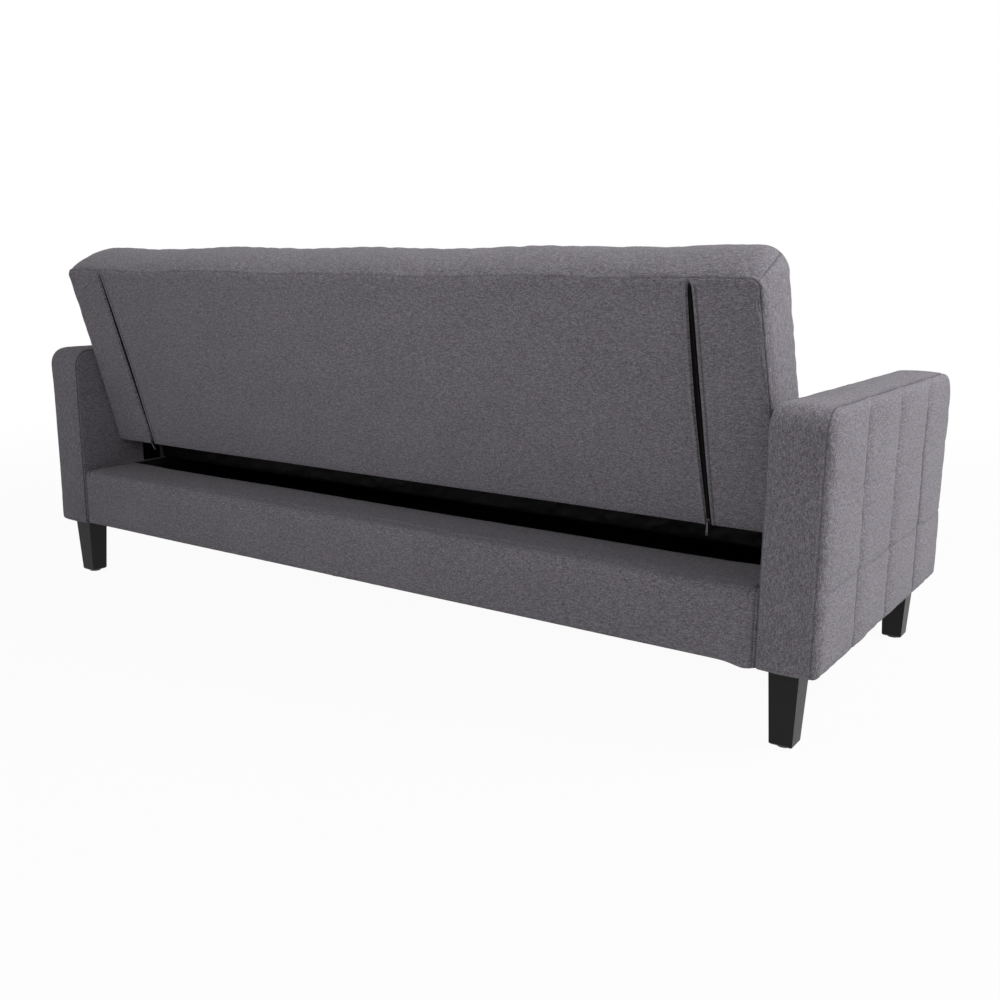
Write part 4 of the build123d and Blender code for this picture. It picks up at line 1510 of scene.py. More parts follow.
@dataclass
class BackRest:
    """The folding back: quilted front, boxing, and a rear face in three panels parted by two zips."""

    # A zip lip's profile: column beside the zip, reach beyond the gap, rise above the rear face.
    LIPS = (
        (0.001, 0.0004, -0.0058),
        (0.002, -0.0001, -0.0005),
        (0.0045, 0.0020, 0.0011),
        (0.0085, 0.0048, 0.0007),
        (0.0125, 0.0073, -0.0015),
        (0.0150, 0.0097, 0.0001),
    )
    # How wide a zip gapes at shares of the back's height.
    GAPE_AT = (0.0, 0.08, 0.5, 0.8, 0.93, 0.96, 0.99, 1.0)
    GAPE = (0.66, 0.68, 1.0, 0.86, 0.66, 0.60, 0.24, 0.06)
    # Turns of the grid's rows round the top corners, in degrees; the mitre lies at 45.
    CORNER = (11, 22, 33, 41, 45, 49, 57, 66, 75, 83, 90)

    finishes: Finishes
    half_width: float = 0.945
    taper: float = 0.017
    rear_corner: float = 0.019
    front_corner: float = 0.044
    rear_face: float = 0.125
    front_face: float = -0.025
    foot: float = -0.0245
    rear_top: float = 0.455
    front_top: float = 0.472
    rear_roll: float = 0.010
    front_roll: float = 0.028
    front_head_roll: float = 0.030
    front_foot_roll: float = 0.025
    front_drop: float = 0.026
    foot_roll: float = 0.003
    front_swell: float = 0.012
    front_margin: float = 0.05
    curved: float = 0.055
    zip_x: float = 0.800
    zip_half_gap: float = 0.0084
    zip_margin: float = 0.018
    zip_stitch: float = 0.0125
    zip_head: float = 0.436
    zip_lips: float = 0.0155
    # Share of painted shade along the zips' stitching.
    zip_shade: float = 0.75
    columns: int = 9
    rows: int = 3
    boxing_steps: int = 10
    top_crown: float = 0.008
    end_crown: float = 0.003
    seam_turns: tuple = (45.0, 67.5)
    seam_dent: float = 0.0026
    # Shares of painted shade along the seams over the top, down the ends and round the front, and at the
    # mitres.
    top_seam_shade: float = 0.28
    end_seam_shade: float = 0.95
    front_seam_shade: float = 0.6
    mitre_dent: float = 0.0012
    mitre_shade: float = 0.75
    boxing_give: float = 0.0030
    rear_give: float = 0.0016
    front_give: float = 0.005
    plate_x: float = 0.9454
    slack: float = 0.010
    fill: float = 0.75

    @staticmethod
    def place(x: ndarray, depth: ndarray, height: ndarray) -> ndarray:
        """Points of the leaning back from its own coordinates.

        Args:
            x: Sideways.
            depth: Rearward from the hinge line.
            height: Up the back from the hinge line.

        Returns:
            Points, three numbers in the last axis.
        """
        x, depth, height = np.broadcast_arrays(x, depth, height)
        return (
            HINGE
            + x[..., None] * SIDEWAYS
            + depth[..., None] * BACK_REARWARD
            + height[..., None] * BACK_UP
        )

    def _grid(
        self, roll: float, corner: float, foot: float, head: float, columns: ndarray, rows: ndarray
    ) -> tuple[ndarray, ndarray]:
        """Sideways and upward coordinates of a face's grid.

        Args:
            roll: How far the face ends inside the outline at its sides.
            corner: Radius of the outline's top corners.
            foot: Height of the lowest row.
            head: Height of the highest row.
            columns: Columns as shares of the half width.
            rows: Rows of the straight part as shares.

        Returns:
            Two arrays, columns by rows.
        """
        radius = corner - roll
        curve = head - radius * (1 - np.sin(np.radians(self.CORNER)))
        h = np.concatenate([foot + rows * (head - radius - foot), curve])
        share = np.clip((h - self.foot) / (self.front_top - self.foot), 0, 1)
        half = self.half_width - roll - self.taper * share
        half -= radius - np.sqrt(np.maximum(radius**2 - np.maximum(h - head + radius, 0) ** 2, 0))
        nominal = np.abs(columns) * self.half_width
        upright = self.zip_x + self.zip_margin
        beyond = np.maximum(nominal - upright, 0) / (self.half_width - upright)
        x = np.minimum(nominal, upright)[:, None] + beyond[:, None] * (half - upright)[None, :]
        x = x * np.sign(columns)[:, None]
        return x, np.broadcast_to(h, x.shape)

    def build(self, room: SewingRoom) -> None:
        """Cut and sew the cushion and hand it to the sewing room.

        Args:
            room: The sewing room.
        """
        quilt = Quilting(
            np.linspace(-self.half_width, self.half_width, self.columns + 1),
            np.linspace(self.foot, self.front_top, self.rows + 1),
        )
        shares = self._shares(quilt)
        columns = shares[0]
        foot, head = self.foot + self.foot_roll, self.rear_top - self.rear_roll
        x, h = self._grid(self.rear_roll, self.rear_corner, foot, head, *shares)
        foot, head = self.foot + self.front_foot_roll, self.front_top - self.front_head_roll
        xf, hf = self._grid(self.front_roll, self.front_corner, foot, head, *shares)
        from_end = np.abs(xf).max(0)[None] - np.abs(xf)
        inside = np.clip(from_end / self.front_margin, 0, 1)
        inside = inside * np.clip((head - hf) / self.front_margin, 0, 1)
        front = self.place(xf, self._front_depth(quilt, xf, hf, from_end, inside), hf)
        casing = Casing(self._rear_panels(x, h, columns), front)
        plain_edge = casing.edge(self.place(x, np.full_like(x, self.rear_face), h))
        rear_rolls = (self.rear_roll, self.rear_roll, self.foot_roll)
        front_rolls = (self.front_roll, self.front_head_roll, self.front_foot_roll)
        rear_swing = edge_swing(plain_edge, SIDEWAYS, BACK_UP, rear_rolls)
        front_swing = edge_swing(casing.rear_edge, SIDEWAYS, BACK_UP, front_rolls)
        upward = unit(rear_swing) @ BACK_UP
        crown = np.where(upward > 0.7, self.top_crown, self.end_crown)
        crown, dent = (np.where(upward < -0.5, 0.0, size) for size in (crown, self.seam_dent))
        casing.box(
            rear_swing, -BACK_REARWARD * self.rear_roll, front_swing, BACK_REARWARD * self.front_drop,
            self.boxing_steps, crown, self.seam_turns, dent,
        )
        ids, front_ids = casing.boxing_ids(), casing.rear_ids()
        mitre = self._mitres(casing, x.shape)
        # Painted shade along the seams, the mitres, the quilting and the zips' stitching.
        casing.crease[ids[casing.face_seam]] *= np.where(upward > 0.9, self.top_seam_shade, self.end_seam_shade)
        casing.crease[ids[casing.rear_seam]] *= self.front_seam_shade
        casing.crease[ids[casing.face_seam : casing.rear_seam + 1, mitre].ravel()] = self.mitre_shade
        quilted = quilt.sewn(xf, hf) & (inside > 0.4)
        casing.crease[front_ids[quilted]] = quilt.crease
        self.zip_columns = [
            nearest(columns * self.half_width, sign * self.zip_x - self.zip_stitch) for sign in (-1, 1)
        ]
        casing.crease[casing.face_ids()[self.zip_columns, :-8].ravel()] = self.zip_shade
        charts = np.stack([x, h], -1), np.stack([xf, hf], -1)
        self.piece = casing.sew("back_cushion", self.finishes.fabric, *charts)
        start = clear_hinge(casing.points)
        self._wave_top(start)
        self._draw_mitres(casing, start, mitre)
        self.piece.data.vertices.foreach_set("co", start.ravel())
        lips = np.abs(np.abs(columns * self.half_width) - self.zip_x) < self.zip_lips
        held = casing.held(ids[:, mitre], casing.face_ids()[lips], front_ids[quilted])
        local = start - HINGE
        held |= local @ BACK_UP < self.foot + 0.012
        held |= np.hypot(local[:, 1], local[:, 2]) < 0.07
        give = np.full(len(start), self.boxing_give)
        give[casing.face_ids().ravel()] = self.rear_give
        give[front_ids.ravel()] = self.boxing_give + self.front_give * inside.ravel()
        even = self._zip_runs(casing, columns)
        room.take(Sewn(self.piece, start, held, give, slack=self.slack, even=even))
        self.quilt = quilt
        self.quilt_paths = quilt.paths(front_ids, xf, hf, (slice(1, -4), slice(3, -3)))
        self.zip_paths = [casing.face_ids()[column, 1:-9] for column in self.zip_columns]

    def _shares(self, quilt: Quilting) -> tuple[ndarray, ndarray]:
        """Columns and rows of the faces' grids.

        Args:
            quilt: The quilting of the front.

        Returns:
            Columns as shares of the half width and rows of the straight part as shares.
        """
        zips = {
            sign * self.zip_x + way * offset
            for sign in (-1, 1)
            for way in (-1, 1)
            for offset, _, _ in self.LIPS
        }
        plain = lines(-self.half_width, self.half_width, tuple(quilt.across[1:-1]), step=0.0125)
        plain = [p for p in plain if abs(abs(p) - self.zip_x) > 0.0185]
        straight = self.front_top - self.foot - self.curved
        levels = tuple((quilt.along[1:-1] - self.foot) / straight)
        rows = lines(0.0, 1.0, levels, (0.005, 0.012, 0.025), 0.027)
        return np.array(sorted({*plain, *zips})) / self.half_width, rows

    def _front_depth(
        self, quilt: Quilting, x: ndarray, h: ndarray, from_end: ndarray, inside: ndarray
    ) -> ndarray:
        """Depth of the quilted front.

        Args:
            quilt: The quilting.
            x: Sideways coordinates.
            h: Upward coordinates.
            from_end: Distance from the nearer end.
            inside: Share of the quilting's depth, 0 at the ends and the top.

        Returns:
            The depth at each point.
        """
        rounded_up = domes(h, quilt.along)
        level_out = np.clip((from_end - 0.03) / 0.17, 0, 1)
        puff = 0.72 + (rounded_up - 0.72) * level_out
        top_row = h > quilt.along[-2]
        puff = np.where(top_row, np.minimum(puff, 0.25 + 0.75 * rounded_up), puff)
        depth = self.front_face + 0.004 - self.front_swell * domes(x, quilt.across) * puff
        return depth + quilt.sink(x, h, inside)

    def _draw_mitres(self, casing: Casing, points: ndarray, mitre: list[int]) -> None:
        """Draw the seams over the top corners in.

        Args:
            casing: The cushion.
            points: Its points, changed in place.
            mitre: The seams' places along the edge.
        """
        ids = casing.boxing_ids()
        around = ids[:, [k + way for k in mitre for way in (-4, 4)]]
        inward = unit(points[around].reshape(len(ids), 2, 2, 3).mean(2) - points[ids[:, mitre]])
        deep = np.zeros(len(ids))
        deep[casing.face_seam + 1 : casing.rear_seam] = self.mitre_dent
        points[ids[:, mitre]] += inward * deep[:, None, None]

    def _zip_runs(self, casing: Casing, columns: ndarray) -> list[ndarray]:
        """Short runs over the top and front where the zips' close columns are kept even.

        Args:
            casing: The cushion.
            columns: Columns as shares of the half width.

        Returns:
            Point numbers of each run.
        """
        runs = []
        top = casing.face.shape[1] - 1
        for sign in (-1, 1):
            near = np.flatnonzero(np.abs(columns * self.half_width - sign * self.zip_x) < 0.028)
            spots = [casing.edge_place(i, top) for i in near]
            runs += [row[spots] for row in casing.boxing_ids()[casing.face_seam :]]
            runs += [casing.rear_ids()[near, j] for j in range(top + 1)]
        return runs

    @staticmethod
    def _mitres(casing: Casing, shape: tuple[int, int]) -> list[int]:
        """Edge points at the middle of the two top corners."""
        row = shape[1] - 7
        return [casing.edge_place(column, row) for column in (shape[0] - 1, 0)]

    def _rear_panels(self, x: ndarray, h: ndarray, columns: ndarray) -> ndarray:
        """Rear face whose three panels part at the zips.

        Args:
            x: Sideways coordinates.
            h: Upward coordinates.
            columns: Columns as shares of the half width.

        Returns:
            The face's points.
        """
        x = x.copy()
        depth = np.full_like(x, self.rear_face)
        depth += 0.0010 * unevenness(np.stack([x, h, h * 0], -1), 5, 0.5)
        share = np.clip((h[0] - self.foot) / (self.rear_top - self.foot), 0, 1)
        gap = self.zip_half_gap * np.interp(share, self.GAPE_AT, self.GAPE)
        open_share = np.interp(share, (0.962, 0.994), (1.0, 0.0))
        nominal = columns * self.half_width
        for sign, bow in ((-1, 1), (1, -0.6)):
            centre = sign * self.zip_x + 0.003 * np.sin(math.pi * share) * bow
            for way in (-1, 1):
                for offset, reach, rise in self.LIPS:
                    column = nearest(nominal, sign * self.zip_x + way * offset)
                    x[column] = centre + way * (gap + reach)
                    depth[column] = self.rear_face + rise * open_share
        return self.place(x, depth, h)

    def _wave_top(self, points: ndarray) -> None:
        """Let the top edge rise and fall a little with the quilting.

        Args:
            points: The cushion's points, changed in place.
        """
        local = points - HINGE
        height = local @ BACK_UP
        share = np.clip((height - 0.36) / 0.1, 0, 1)
        swells = 0.0022 * np.cos(points[:, 0] * 2 * math.pi / 0.42)
        points += (share * swells)[:, None] * BACK_UP
        points += (share * 0.0020 * unevenness(points * SIDEWAYS, 31, 0.6))[:, None] * BACK_UP

    def finish(self) -> None:
        """Open the zips, stitch the quilting and join the pieces to the frame."""
        self._clear_plates()
        paths = self.quilt_paths + self.zip_paths
        rows = stitch("back_stitches", self.piece, paths, self.quilt.lift)
        self._open_zips()
        panels = [f"{place}_back_panel" for place in ("centre", "left", "right")]
        join(self.piece, "back", "grey_fabric", "back_cover", "back_foam", *panels, fill=self.fill)
        stitches = rows.make(self.quilt.pitch, self.quilt.stitch, self.finishes.thread)
        join(stitches, "back", "grey_fabric")

    def _clear_plates(self) -> None:
        """Draw the ends in where they pass the hinge plates as the back lies down."""
        mesh = self.piece.data
        points = np.empty(len(mesh.vertices) * 3, np.float32)
        mesh.vertices.foreach_get("co", points)
        points = points.reshape(-1, 3)
        reach = np.hypot(points[:, 1] - HINGE[1], points[:, 2] - HINGE[2])
        most = np.interp(reach, (0.14, 0.19), (self.plate_x, self.plate_x + 0.004))
        points[:, 0] = np.clip(points[:, 0], -most, most)
        mesh.vertices.foreach_set("co", points.ravel())

    def _open_zips(self) -> None:
        """Cut the fabric away between the zips' lips."""
        mesh = self.piece.data
        bm = bmesh.new()
        bm.from_mesh(mesh)
        doomed = []
        for bm_face in bm.faces:
            local = np.array(bm_face.calc_center_median()) - HINGE
            deep = self.rear_face - local @ BACK_REARWARD
            at_zip = abs(abs(local[0]) - self.zip_x) < self.zip_stitch
            if at_zip and 0.0032 < deep < 0.009 and local @ BACK_UP < self.zip_head:
                if abs(bm_face.normal @ Vector(BACK_REARWARD)) > 0.9:
                    doomed.append(bm_face)
        bmesh.ops.delete(bm, geom=doomed, context="FACES")
        bm.to_mesh(mesh)
        bm.free()
        log.info("opened the zips: %d faces cut away", len(doomed))


def clear_hinge(points: ndarray) -> ndarray:
    """Draw a cushion's ends in round the hinge line.

    Args:
        points: The cushion's points.

    Returns:
        The points, with a pocket at each end.
    """
    moved = points.copy()
    near = np.hypot(points[:, 1] - HINGE[1], points[:, 2] - HINGE[2]) < POCKET_RADIUS
    moved[:, 0] = np.where(near, np.clip(points[:, 0], -POCKET_X, POCKET_X), points[:, 0])
    return moved


@dataclass
class SeatCushion:
    """The seat: a quilted top with boxing, rounded down at front and rear."""

    finishes: Finishes
    half_width: float = 0.945
    front: float = -0.440
    rear: float = 0.160
    bottom: float = 0.2982
    top: float = 0.450
    end_roll: float = 0.026
    front_roll: float = 0.040
    rear_roll: float = 0.055
    under_roll: float = 0.010
    under_drop: float = 0.008
    front_drop: float = 0.042
    rear_drop: float = 0.060
    swell: float = 0.012
    columns: int = 9
    rows: int = 3
    step: float = 0.0125
    boxing_steps: int = 9
    boxing_crown: float = 0.003
    seam_turns: tuple = (90.0, 90.0)
    seam_dent: float = 0.0022
    top_give: float = 0.008
    boxing_give: float = 0.004
    fill: float = 0.75

    def build(self, room: SewingRoom) -> None:
        """Cut and sew the cushion and hand it to the sewing room.

        Args:
            room: The sewing room.
        """
        quilt = Quilting(
            np.linspace(-self.half_width, self.half_width, self.columns + 1),
            np.linspace(self.front, self.rear, self.rows + 1),
        )
        end, under = self.half_width - self.end_roll, self.under_roll
        low, high = self.front + self.front_roll, self.rear - self.rear_roll
        x_top = lines(-self.half_width + self.end_roll, end, tuple(quilt.across[1:-1]), step=self.step)
        y_top = lines(low, high, tuple(quilt.along[1:-1]), step=self.step)
        x, y = np.meshgrid(x_top, y_top, indexing="ij")
        inside = np.clip((y - y_top[0]) / 0.045, 0, 1) * np.clip((y_top[-1] - y) / 0.04, 0, 1)
        inside = inside * np.clip((x_top[-1] - np.abs(x)) / 0.05, 0, 1)
        puff = self.swell * domes(x, quilt.across) * domes(y, quilt.along)
        z = self.top - 0.002 + puff * (0.35 + 0.65 * inside)
        z -= quilt.sink(x, y, inside)
        xb = x * (self.half_width - under) / end
        share = (y - y_top[0]) / (y_top[-1] - y_top[0])
        yb = self.front + under + share * (self.rear - self.front - 2 * under)
        bottom = np.stack([xb, yb, np.full_like(x, self.bottom)], -1)
        casing = Casing(np.stack([x, y, z], -1), bottom)
        rolls = (self.end_roll, self.rear_roll, self.front_roll)
        top_swing = edge_swing(casing.face_edge, SIDEWAYS, REARWARD, rolls)
        low_swing = edge_swing(casing.rear_edge, SIDEWAYS, REARWARD, (under, under, under))
        behind = unit(top_swing)[:, 1] > 0.6
        casing.box(
            top_swing, -np.where(behind, self.rear_drop, self.front_drop)[:, None] * UPWARD, low_swing,
            self.under_drop * UPWARD, self.boxing_steps, np.where(behind, 0.0, self.boxing_crown),
            self.seam_turns, np.where(behind, 0.0, self.seam_dent),
        )
        ids = casing.face_ids()
        quilted = quilt.sewn(x, y) & (inside > 0.3)
        # Painted shade along the quilting.
        casing.crease[ids[quilted]] = quilt.crease
        charts = np.stack([x, y], -1), np.stack([xb, yb], -1)
        self.piece = casing.sew("seat_cushion", self.finishes.fabric, *charts)
        start = clear_hinge(casing.points)
        self.piece.data.vertices.foreach_set("co", start.ravel())
        held = casing.held(casing.rear_ids(), ids[quilted])
        held |= (start[:, 1] > self.rear - 0.030) | (start[:, 2] < self.bottom + 0.012)
        give = np.full(len(start), self.boxing_give)
        give[ids.ravel()] = self.top_give
        room.take(Sewn(self.piece, start, held, give))
        self.quilt = quilt
        self.quilt_paths = quilt.paths(ids, x, y, (slice(1, -1), slice(1, -1)))

    def finish(self) -> None:
        """Stitch the quilting and join the pieces to the frame."""
        join(self.piece, "seat", "grey_fabric", "seat_cover", "seat_foam", fill=self.fill)
        rows = stitch("seat_stitches", self.piece, self.quilt_paths, self.quilt.lift)
        stitches = rows.make(self.quilt.pitch, self.quilt.stitch, self.finishes.thread)
        join(stitches, "seat", "grey_fabric")


@dataclass
class RailCover:
    """A padded strip wrapped over a rail: an outer and an inner line swept between the arms.

    A fold is the depth of a rear edge with mitred corners, a droop how far the near end hangs.
    """

    BESIDE_END = (0.0015, 0.003, 0.0055, 0.008, 0.0105, 0.013, 0.0155, 0.018, 0.021)

    name: str
    node: str
    outer: list[tuple[float, float]]
    inner: list[tuple[float, float]]
    finishes: Finishes
    half: float = 0.948
    end_roll: float = 0.011
    end_seam: float = 0.0065
    seam_dent: float = 0.0022
    seam_width: float = 0.002
    # Width and share of the painted shade along the end seams.
    crease_width: float = 0.0012
    rail_seam_shade: float = 0.6
    sag: float = 0.0009
    fold: float = 0.0
    fold_width: float = 0.021
    fold_depth: float = 0.036
    droop: float = 0.0
    droop_at: float = 0.024
    turn_in: float = 0.012
    seed: int = 3
    give: float = 0.002
    pressure: float = 3.0
    slack: float = 0.008
    fill: float = 0.85

    def build(self, room: SewingRoom) -> None:
        """Cut and sew the cover and hand it to the sewing room.

        Args:
            room: The sewing room.
        """
        seam = self.half - self.end_seam
        x = lines(-self.half, self.half, (-self.half, -seam, seam, self.half), self.BESIDE_END, 0.014)
        outer, inner = np.array(self.outer), np.array(self.inner)
        roll = np.clip((self.half - np.abs(x)) / self.end_roll, 0, 1)
        fill = 0.25 + 0.75 * np.sqrt(1 - (1 - roll) ** 2)
        grid = np.zeros((len(x), len(outer), 3))
        grid[..., 0] = x[:, None]
        lining = grid.copy()
        lining[..., 1:] = inner[None]
        grid[..., 1:] = inner[None] + (outer - inner)[None] * fill[:, None, None]
        away = unit(outer - inner)
        wave = self.sag * unevenness(grid, self.seed, 0.35) * roll[:, None]
        grid[..., 1:] += wave[..., None] * away[None]
        from_seam = np.abs(np.abs(x) - self.half + self.end_seam)
        dent = self.seam_dent * groove(from_seam, self.seam_width)
        grid[..., 1:] -= dent[:, None, None] * away[None]
        # Painted shade along the end seams and, on the rear cover, along the corner folds.
        crease = np.repeat(groove(from_seam, self.crease_width)[:, None], len(outer), 1)
        crease = crease * self.rail_seam_shade
        if self.fold:
            crease = self._fold_corners(grid, crease)
        low = np.clip((0.20 - grid[..., 2]) / 0.05, 0, 1)
        near_end = groove(grid[..., 0] + self.half - self.droop_at, self.droop_at)
        grid[..., 2] -= self.droop * low * near_end
        self._sew(room, grid, lining, crease)

    def _fold_corners(self, grid: ndarray, crease: ndarray) -> ndarray:
        """Fold the cover's corners in on top, as a mitre.

        Args:
            grid: The outer skin, changed in place.
            crease: Share of painted shade on each of its points.

        Returns:
            The same with painted shade along the folds.
        """
        from_end, from_edge = self.half - np.abs(grid[..., 0]), self.fold - grid[..., 1]
        place = from_end / self.fold_width + from_edge / self.fold_depth
        on_top = np.clip((grid[..., 2] - 0.280) / 0.008, 0, 1) * (from_edge < 0.040)
        grid[..., 2] -= 0.0026 * groove(place - 1, 0.16) * on_top
        grid[..., 2] += 0.0014 * (place < 0.85) * on_top
        return np.maximum(crease * (1 - on_top), groove(place - 1, 0.09) * on_top)

    def _sew(self, room: SewingRoom, grid: ndarray, lining: ndarray, crease: ndarray) -> None:
        """Close the outer and inner skins into one mesh.

        Args:
            room: The sewing room.
            grid: Outer skin.
            lining: Inner skin.
            crease: Share of painted shade on each point of the outer skin.
        """
        columns, count = grid.shape[:2]
        points = np.concatenate([grid.reshape(-1, 3), lining.reshape(-1, 3)])
        ids = np.arange(columns * count).reshape(columns, count)
        chart = weave_chart(grid[:, 0, 0], running(grid[columns // 2]))
        panels = [(ids, chart), (ids + columns * count, chart)]
        for edge in (ids[0], ids[-1], ids[:, 0], ids[:, -1]):
            pair = np.stack([edge, edge + columns * count])
            panels.append((pair, weave_chart((0.0, self.turn_in), running(points[edge]))))
        depth = np.concatenate([crease.ravel(), np.zeros(columns * count)])
        self.piece = sew_panels(self.name, points, panels, depth, self.finishes.fabric)
        held = np.ones(len(points), bool)
        held[ids[8:-8, 2:-2].ravel()] = False
        give = np.full(len(points), self.give)
        room.take(Sewn(self.piece, points, held, give, self.pressure, self.slack))

    def finish(self) -> None:
        """Join the cover to the frame."""
        join(self.piece, "base", "grey_fabric", self.node, fill=self.fill)


def rounded(*corners: tuple[float, float, float], counts: tuple[int, ...]) -> list[tuple[float, float]]:
    """A line through corners, each rounded by its own radius and evenly divided.

    Args:
        corners: Depth, height and radius of each corner, the two ends among them.
        counts: How many parts each straight run is divided into.

    Returns:
        Points along the line.
    """
    spots = [np.array(c[:2]) for c in corners]
    runs: list[list[ndarray]] = [[spots[0]]]
    for before, here, after, corner in zip(spots, spots[1:], spots[2:], corners[1:]):
        ahead, back = unit(after - here), unit(before - here)
        radius = corner[2]
        centre = here + (ahead + back) * radius
        arc = []
        for share in np.linspace(0, 1, 5):
            turned = unit(-ahead * (1 - share) - back * share)
            arc.append(centre + turned * radius)
        runs.append(arc)
    runs.append([spots[-1]])
    made: list[ndarray] = []
    for run, following, count in zip(runs, runs[1:], counts):
        made += run
        span = following[0] - run[-1]
        made += [run[-1] + span * i / count for i in range(1, count)]
    made += runs[-1]
    return [tuple(p) for p in made]


@dataclass
class SeatLining:
    """Black spun lining stapled under the seat and up its rear face."""

    finishes: Finishes
    half_width: float = 0.937
    front: float = -0.432
    rear: float = 0.1607
    bottom: float = 0.2972
    top: float = 0.386
    bend: float = 0.006
    ripple: float = 0.0021
    staple: tuple = (0.010, 0.0012, 0.0008)
    staple_pitch: float = 0.046
    staple_inset: float = 0.009
    staple_sink: float = 0.0002

    def build(self) -> None:
        """Lay the sheet, let it ripple, staple its edges and join them to the frame."""
        x = np.linspace(-self.half_width, self.half_width, 340)
        line = self._line()
        run = running(line)
        grid = np.zeros((len(x), len(line), 3))
        grid[..., 0] = x[:, None]
        grid[..., 1:] = line[None]
        ridge = np.abs(unevenness(grid * np.array((1.0, 1.0, 0.7)), 43, 0.15))
        ridge = np.clip(1 - 2.4 * ridge, 0, 1) ** 1.5
        ripple = unevenness(grid * np.array((1.0, 1.0, 0.55)), 41, 0.09) * 0.35 + ridge * 0.75
        loose = np.clip((self.top - line[:, 1]) / 0.03, 0, 1)
        loose = loose * np.clip((line[:, 1] - self.bottom - 0.004) / 0.008, 0, 1)
        grid[..., 1] += self.ripple * np.clip(ripple + 0.25, 0, 1.27) * loose[None]
        piece = sew_sheet("seat_underside_lining", grid, x, run, self.finishes.lining)
        shade_smooth(piece.data)
        if piece.data.polygons[0].normal.z > 0:
            piece.data.flip_normals()
        join(piece, "seat", "black_lining", "seat_lining")
        self._staple()
        log.info("laid the seat lining")

    def _line(self) -> ndarray:
        """The sheet's line from under the seat's front to the top of its rear.

        Returns:
            Depth and height of points along it.
        """
        turn = self.rear - self.bend
        path = [(y, self.bottom) for y in np.linspace(self.front, turn, 44)]
        for a in np.radians(np.linspace(15, 75, 5)):
            path.append((turn + self.bend * math.sin(a), self.bottom + self.bend * (1 - math.cos(a))))
        path += [(self.rear, z) for z in np.linspace(self.bottom + self.bend, self.top, 16)]
        return np.array(path)

    def _staple(self) -> None:
        """Staple the sheet's four edges to the seat's underside."""
        rows = Rows("lining_staples", Bead.BLOCK)
        low, edge = self.bottom - self.staple_sink, self.half_width - self.staple_inset
        paths = [
            [(x, y, low) for x in np.linspace(-0.92, 0.92, 40)]
            for y in (self.front + self.staple_inset, self.rear - 0.030)
        ]
        paths += [
            [(side.value * edge, y, low) for y in np.linspace(-0.40, 0.11, 14)] for side in Side
        ]
        for path in paths:
            rows.follow(np.array(path), np.tile(-UPWARD, (len(path), 1)))
        join(rows.make(self.staple_pitch, self.staple, self.finishes.steel), "seat", "steel")


@dataclass
class BoxLining:
    """Black spun lining inside the bedding box, dark sheets that also stand in for the box's deep shade:
    one sheet on each side and one on the floor.
    """

    finishes: Finishes
    side_x: float = 0.9292
    front: float = -0.384
    rear: float = 0.2474
    turn: float = 0.2484
    turn_down: float = 0.006
    floor: float = 0.1724
    top: float = 0.2933
    edge_x: float = 0.9476

    def build(self) -> None:
        """Lay the three sheets and join them to the frame."""
        y = np.append(np.linspace(self.front, self.turn, 60), self.turn + 0.0002)
        wall = [(self.side_x, z) for z in np.linspace(self.floor, self.top - 0.001, 14)]
        over = [(a, self.top) for a in np.linspace(self.side_x + 0.001, self.edge_x, 4)]
        line = np.array(wall + over)
        run = running(line)
        for side in Side:
            grid = np.zeros((len(y), len(line), 3))
            grid[..., 0] = side.value * line[None, :, 0]
            grid[..., 1] = y[:, None]
            grid[..., 2] = line[None, :, 1]
            on_wall = line[:, 1] < self.top - 0.0005
            grid[..., 0] -= side.value * self._ripple(grid, 51) * on_wall[None]
            grid[-1, ~on_wall, 2] -= self.turn_down
            self._lay(f"{side.word}_box_lining", grid, y, run)
        x = np.linspace(-self.side_x + 0.0002, self.side_x - 0.0002, 150)
        y = np.linspace(self.front, self.rear, 60)
        across, depth = np.meshgrid(x, y, indexing="ij")
        grid = np.stack([across, depth, np.full_like(depth, self.floor)], -1)
        grid[..., 2] += self._ripple(grid, 57)
        self._lay("box_floor_shade_lining", grid, x, y)

    @staticmethod
    def _ripple(grid: ndarray, seed: int) -> ndarray:
        """Shallow ripples that stand off the board."""
        return 0.0009 * np.clip(unevenness(grid, seed, 0.12) + 0.2, 0, 1.3)

    def _lay(self, name: str, grid: ndarray, first: ndarray, second: ndarray) -> None:
        """Make one sheet.

        Args:
            name: The piece's name.
            grid: Its points.
            first: Weave coordinate of the columns.
            second: Weave coordinate of the rows.
        """
        piece = sew_sheet(name, grid, first, second, self.finishes.lining)
        mesh = piece.data
        away = mesh.polygons[0].center - Vector((0.0, 0.0, 0.5))
        if mesh.polygons[0].normal.dot(away) > 0:
            mesh.flip_normals()
        join(piece, "base", "black_lining")
        log.info("laid %s", name)


def mirrored(right: list[tuple[float, float]], *middle: tuple[float, float]) -> list[tuple[float, float]]:
    """A closed outline from its right half."""
    left = [(-a, h) for a, h in reversed(right)]
    return [left[-1], *right, *middle, *left[:-1]]


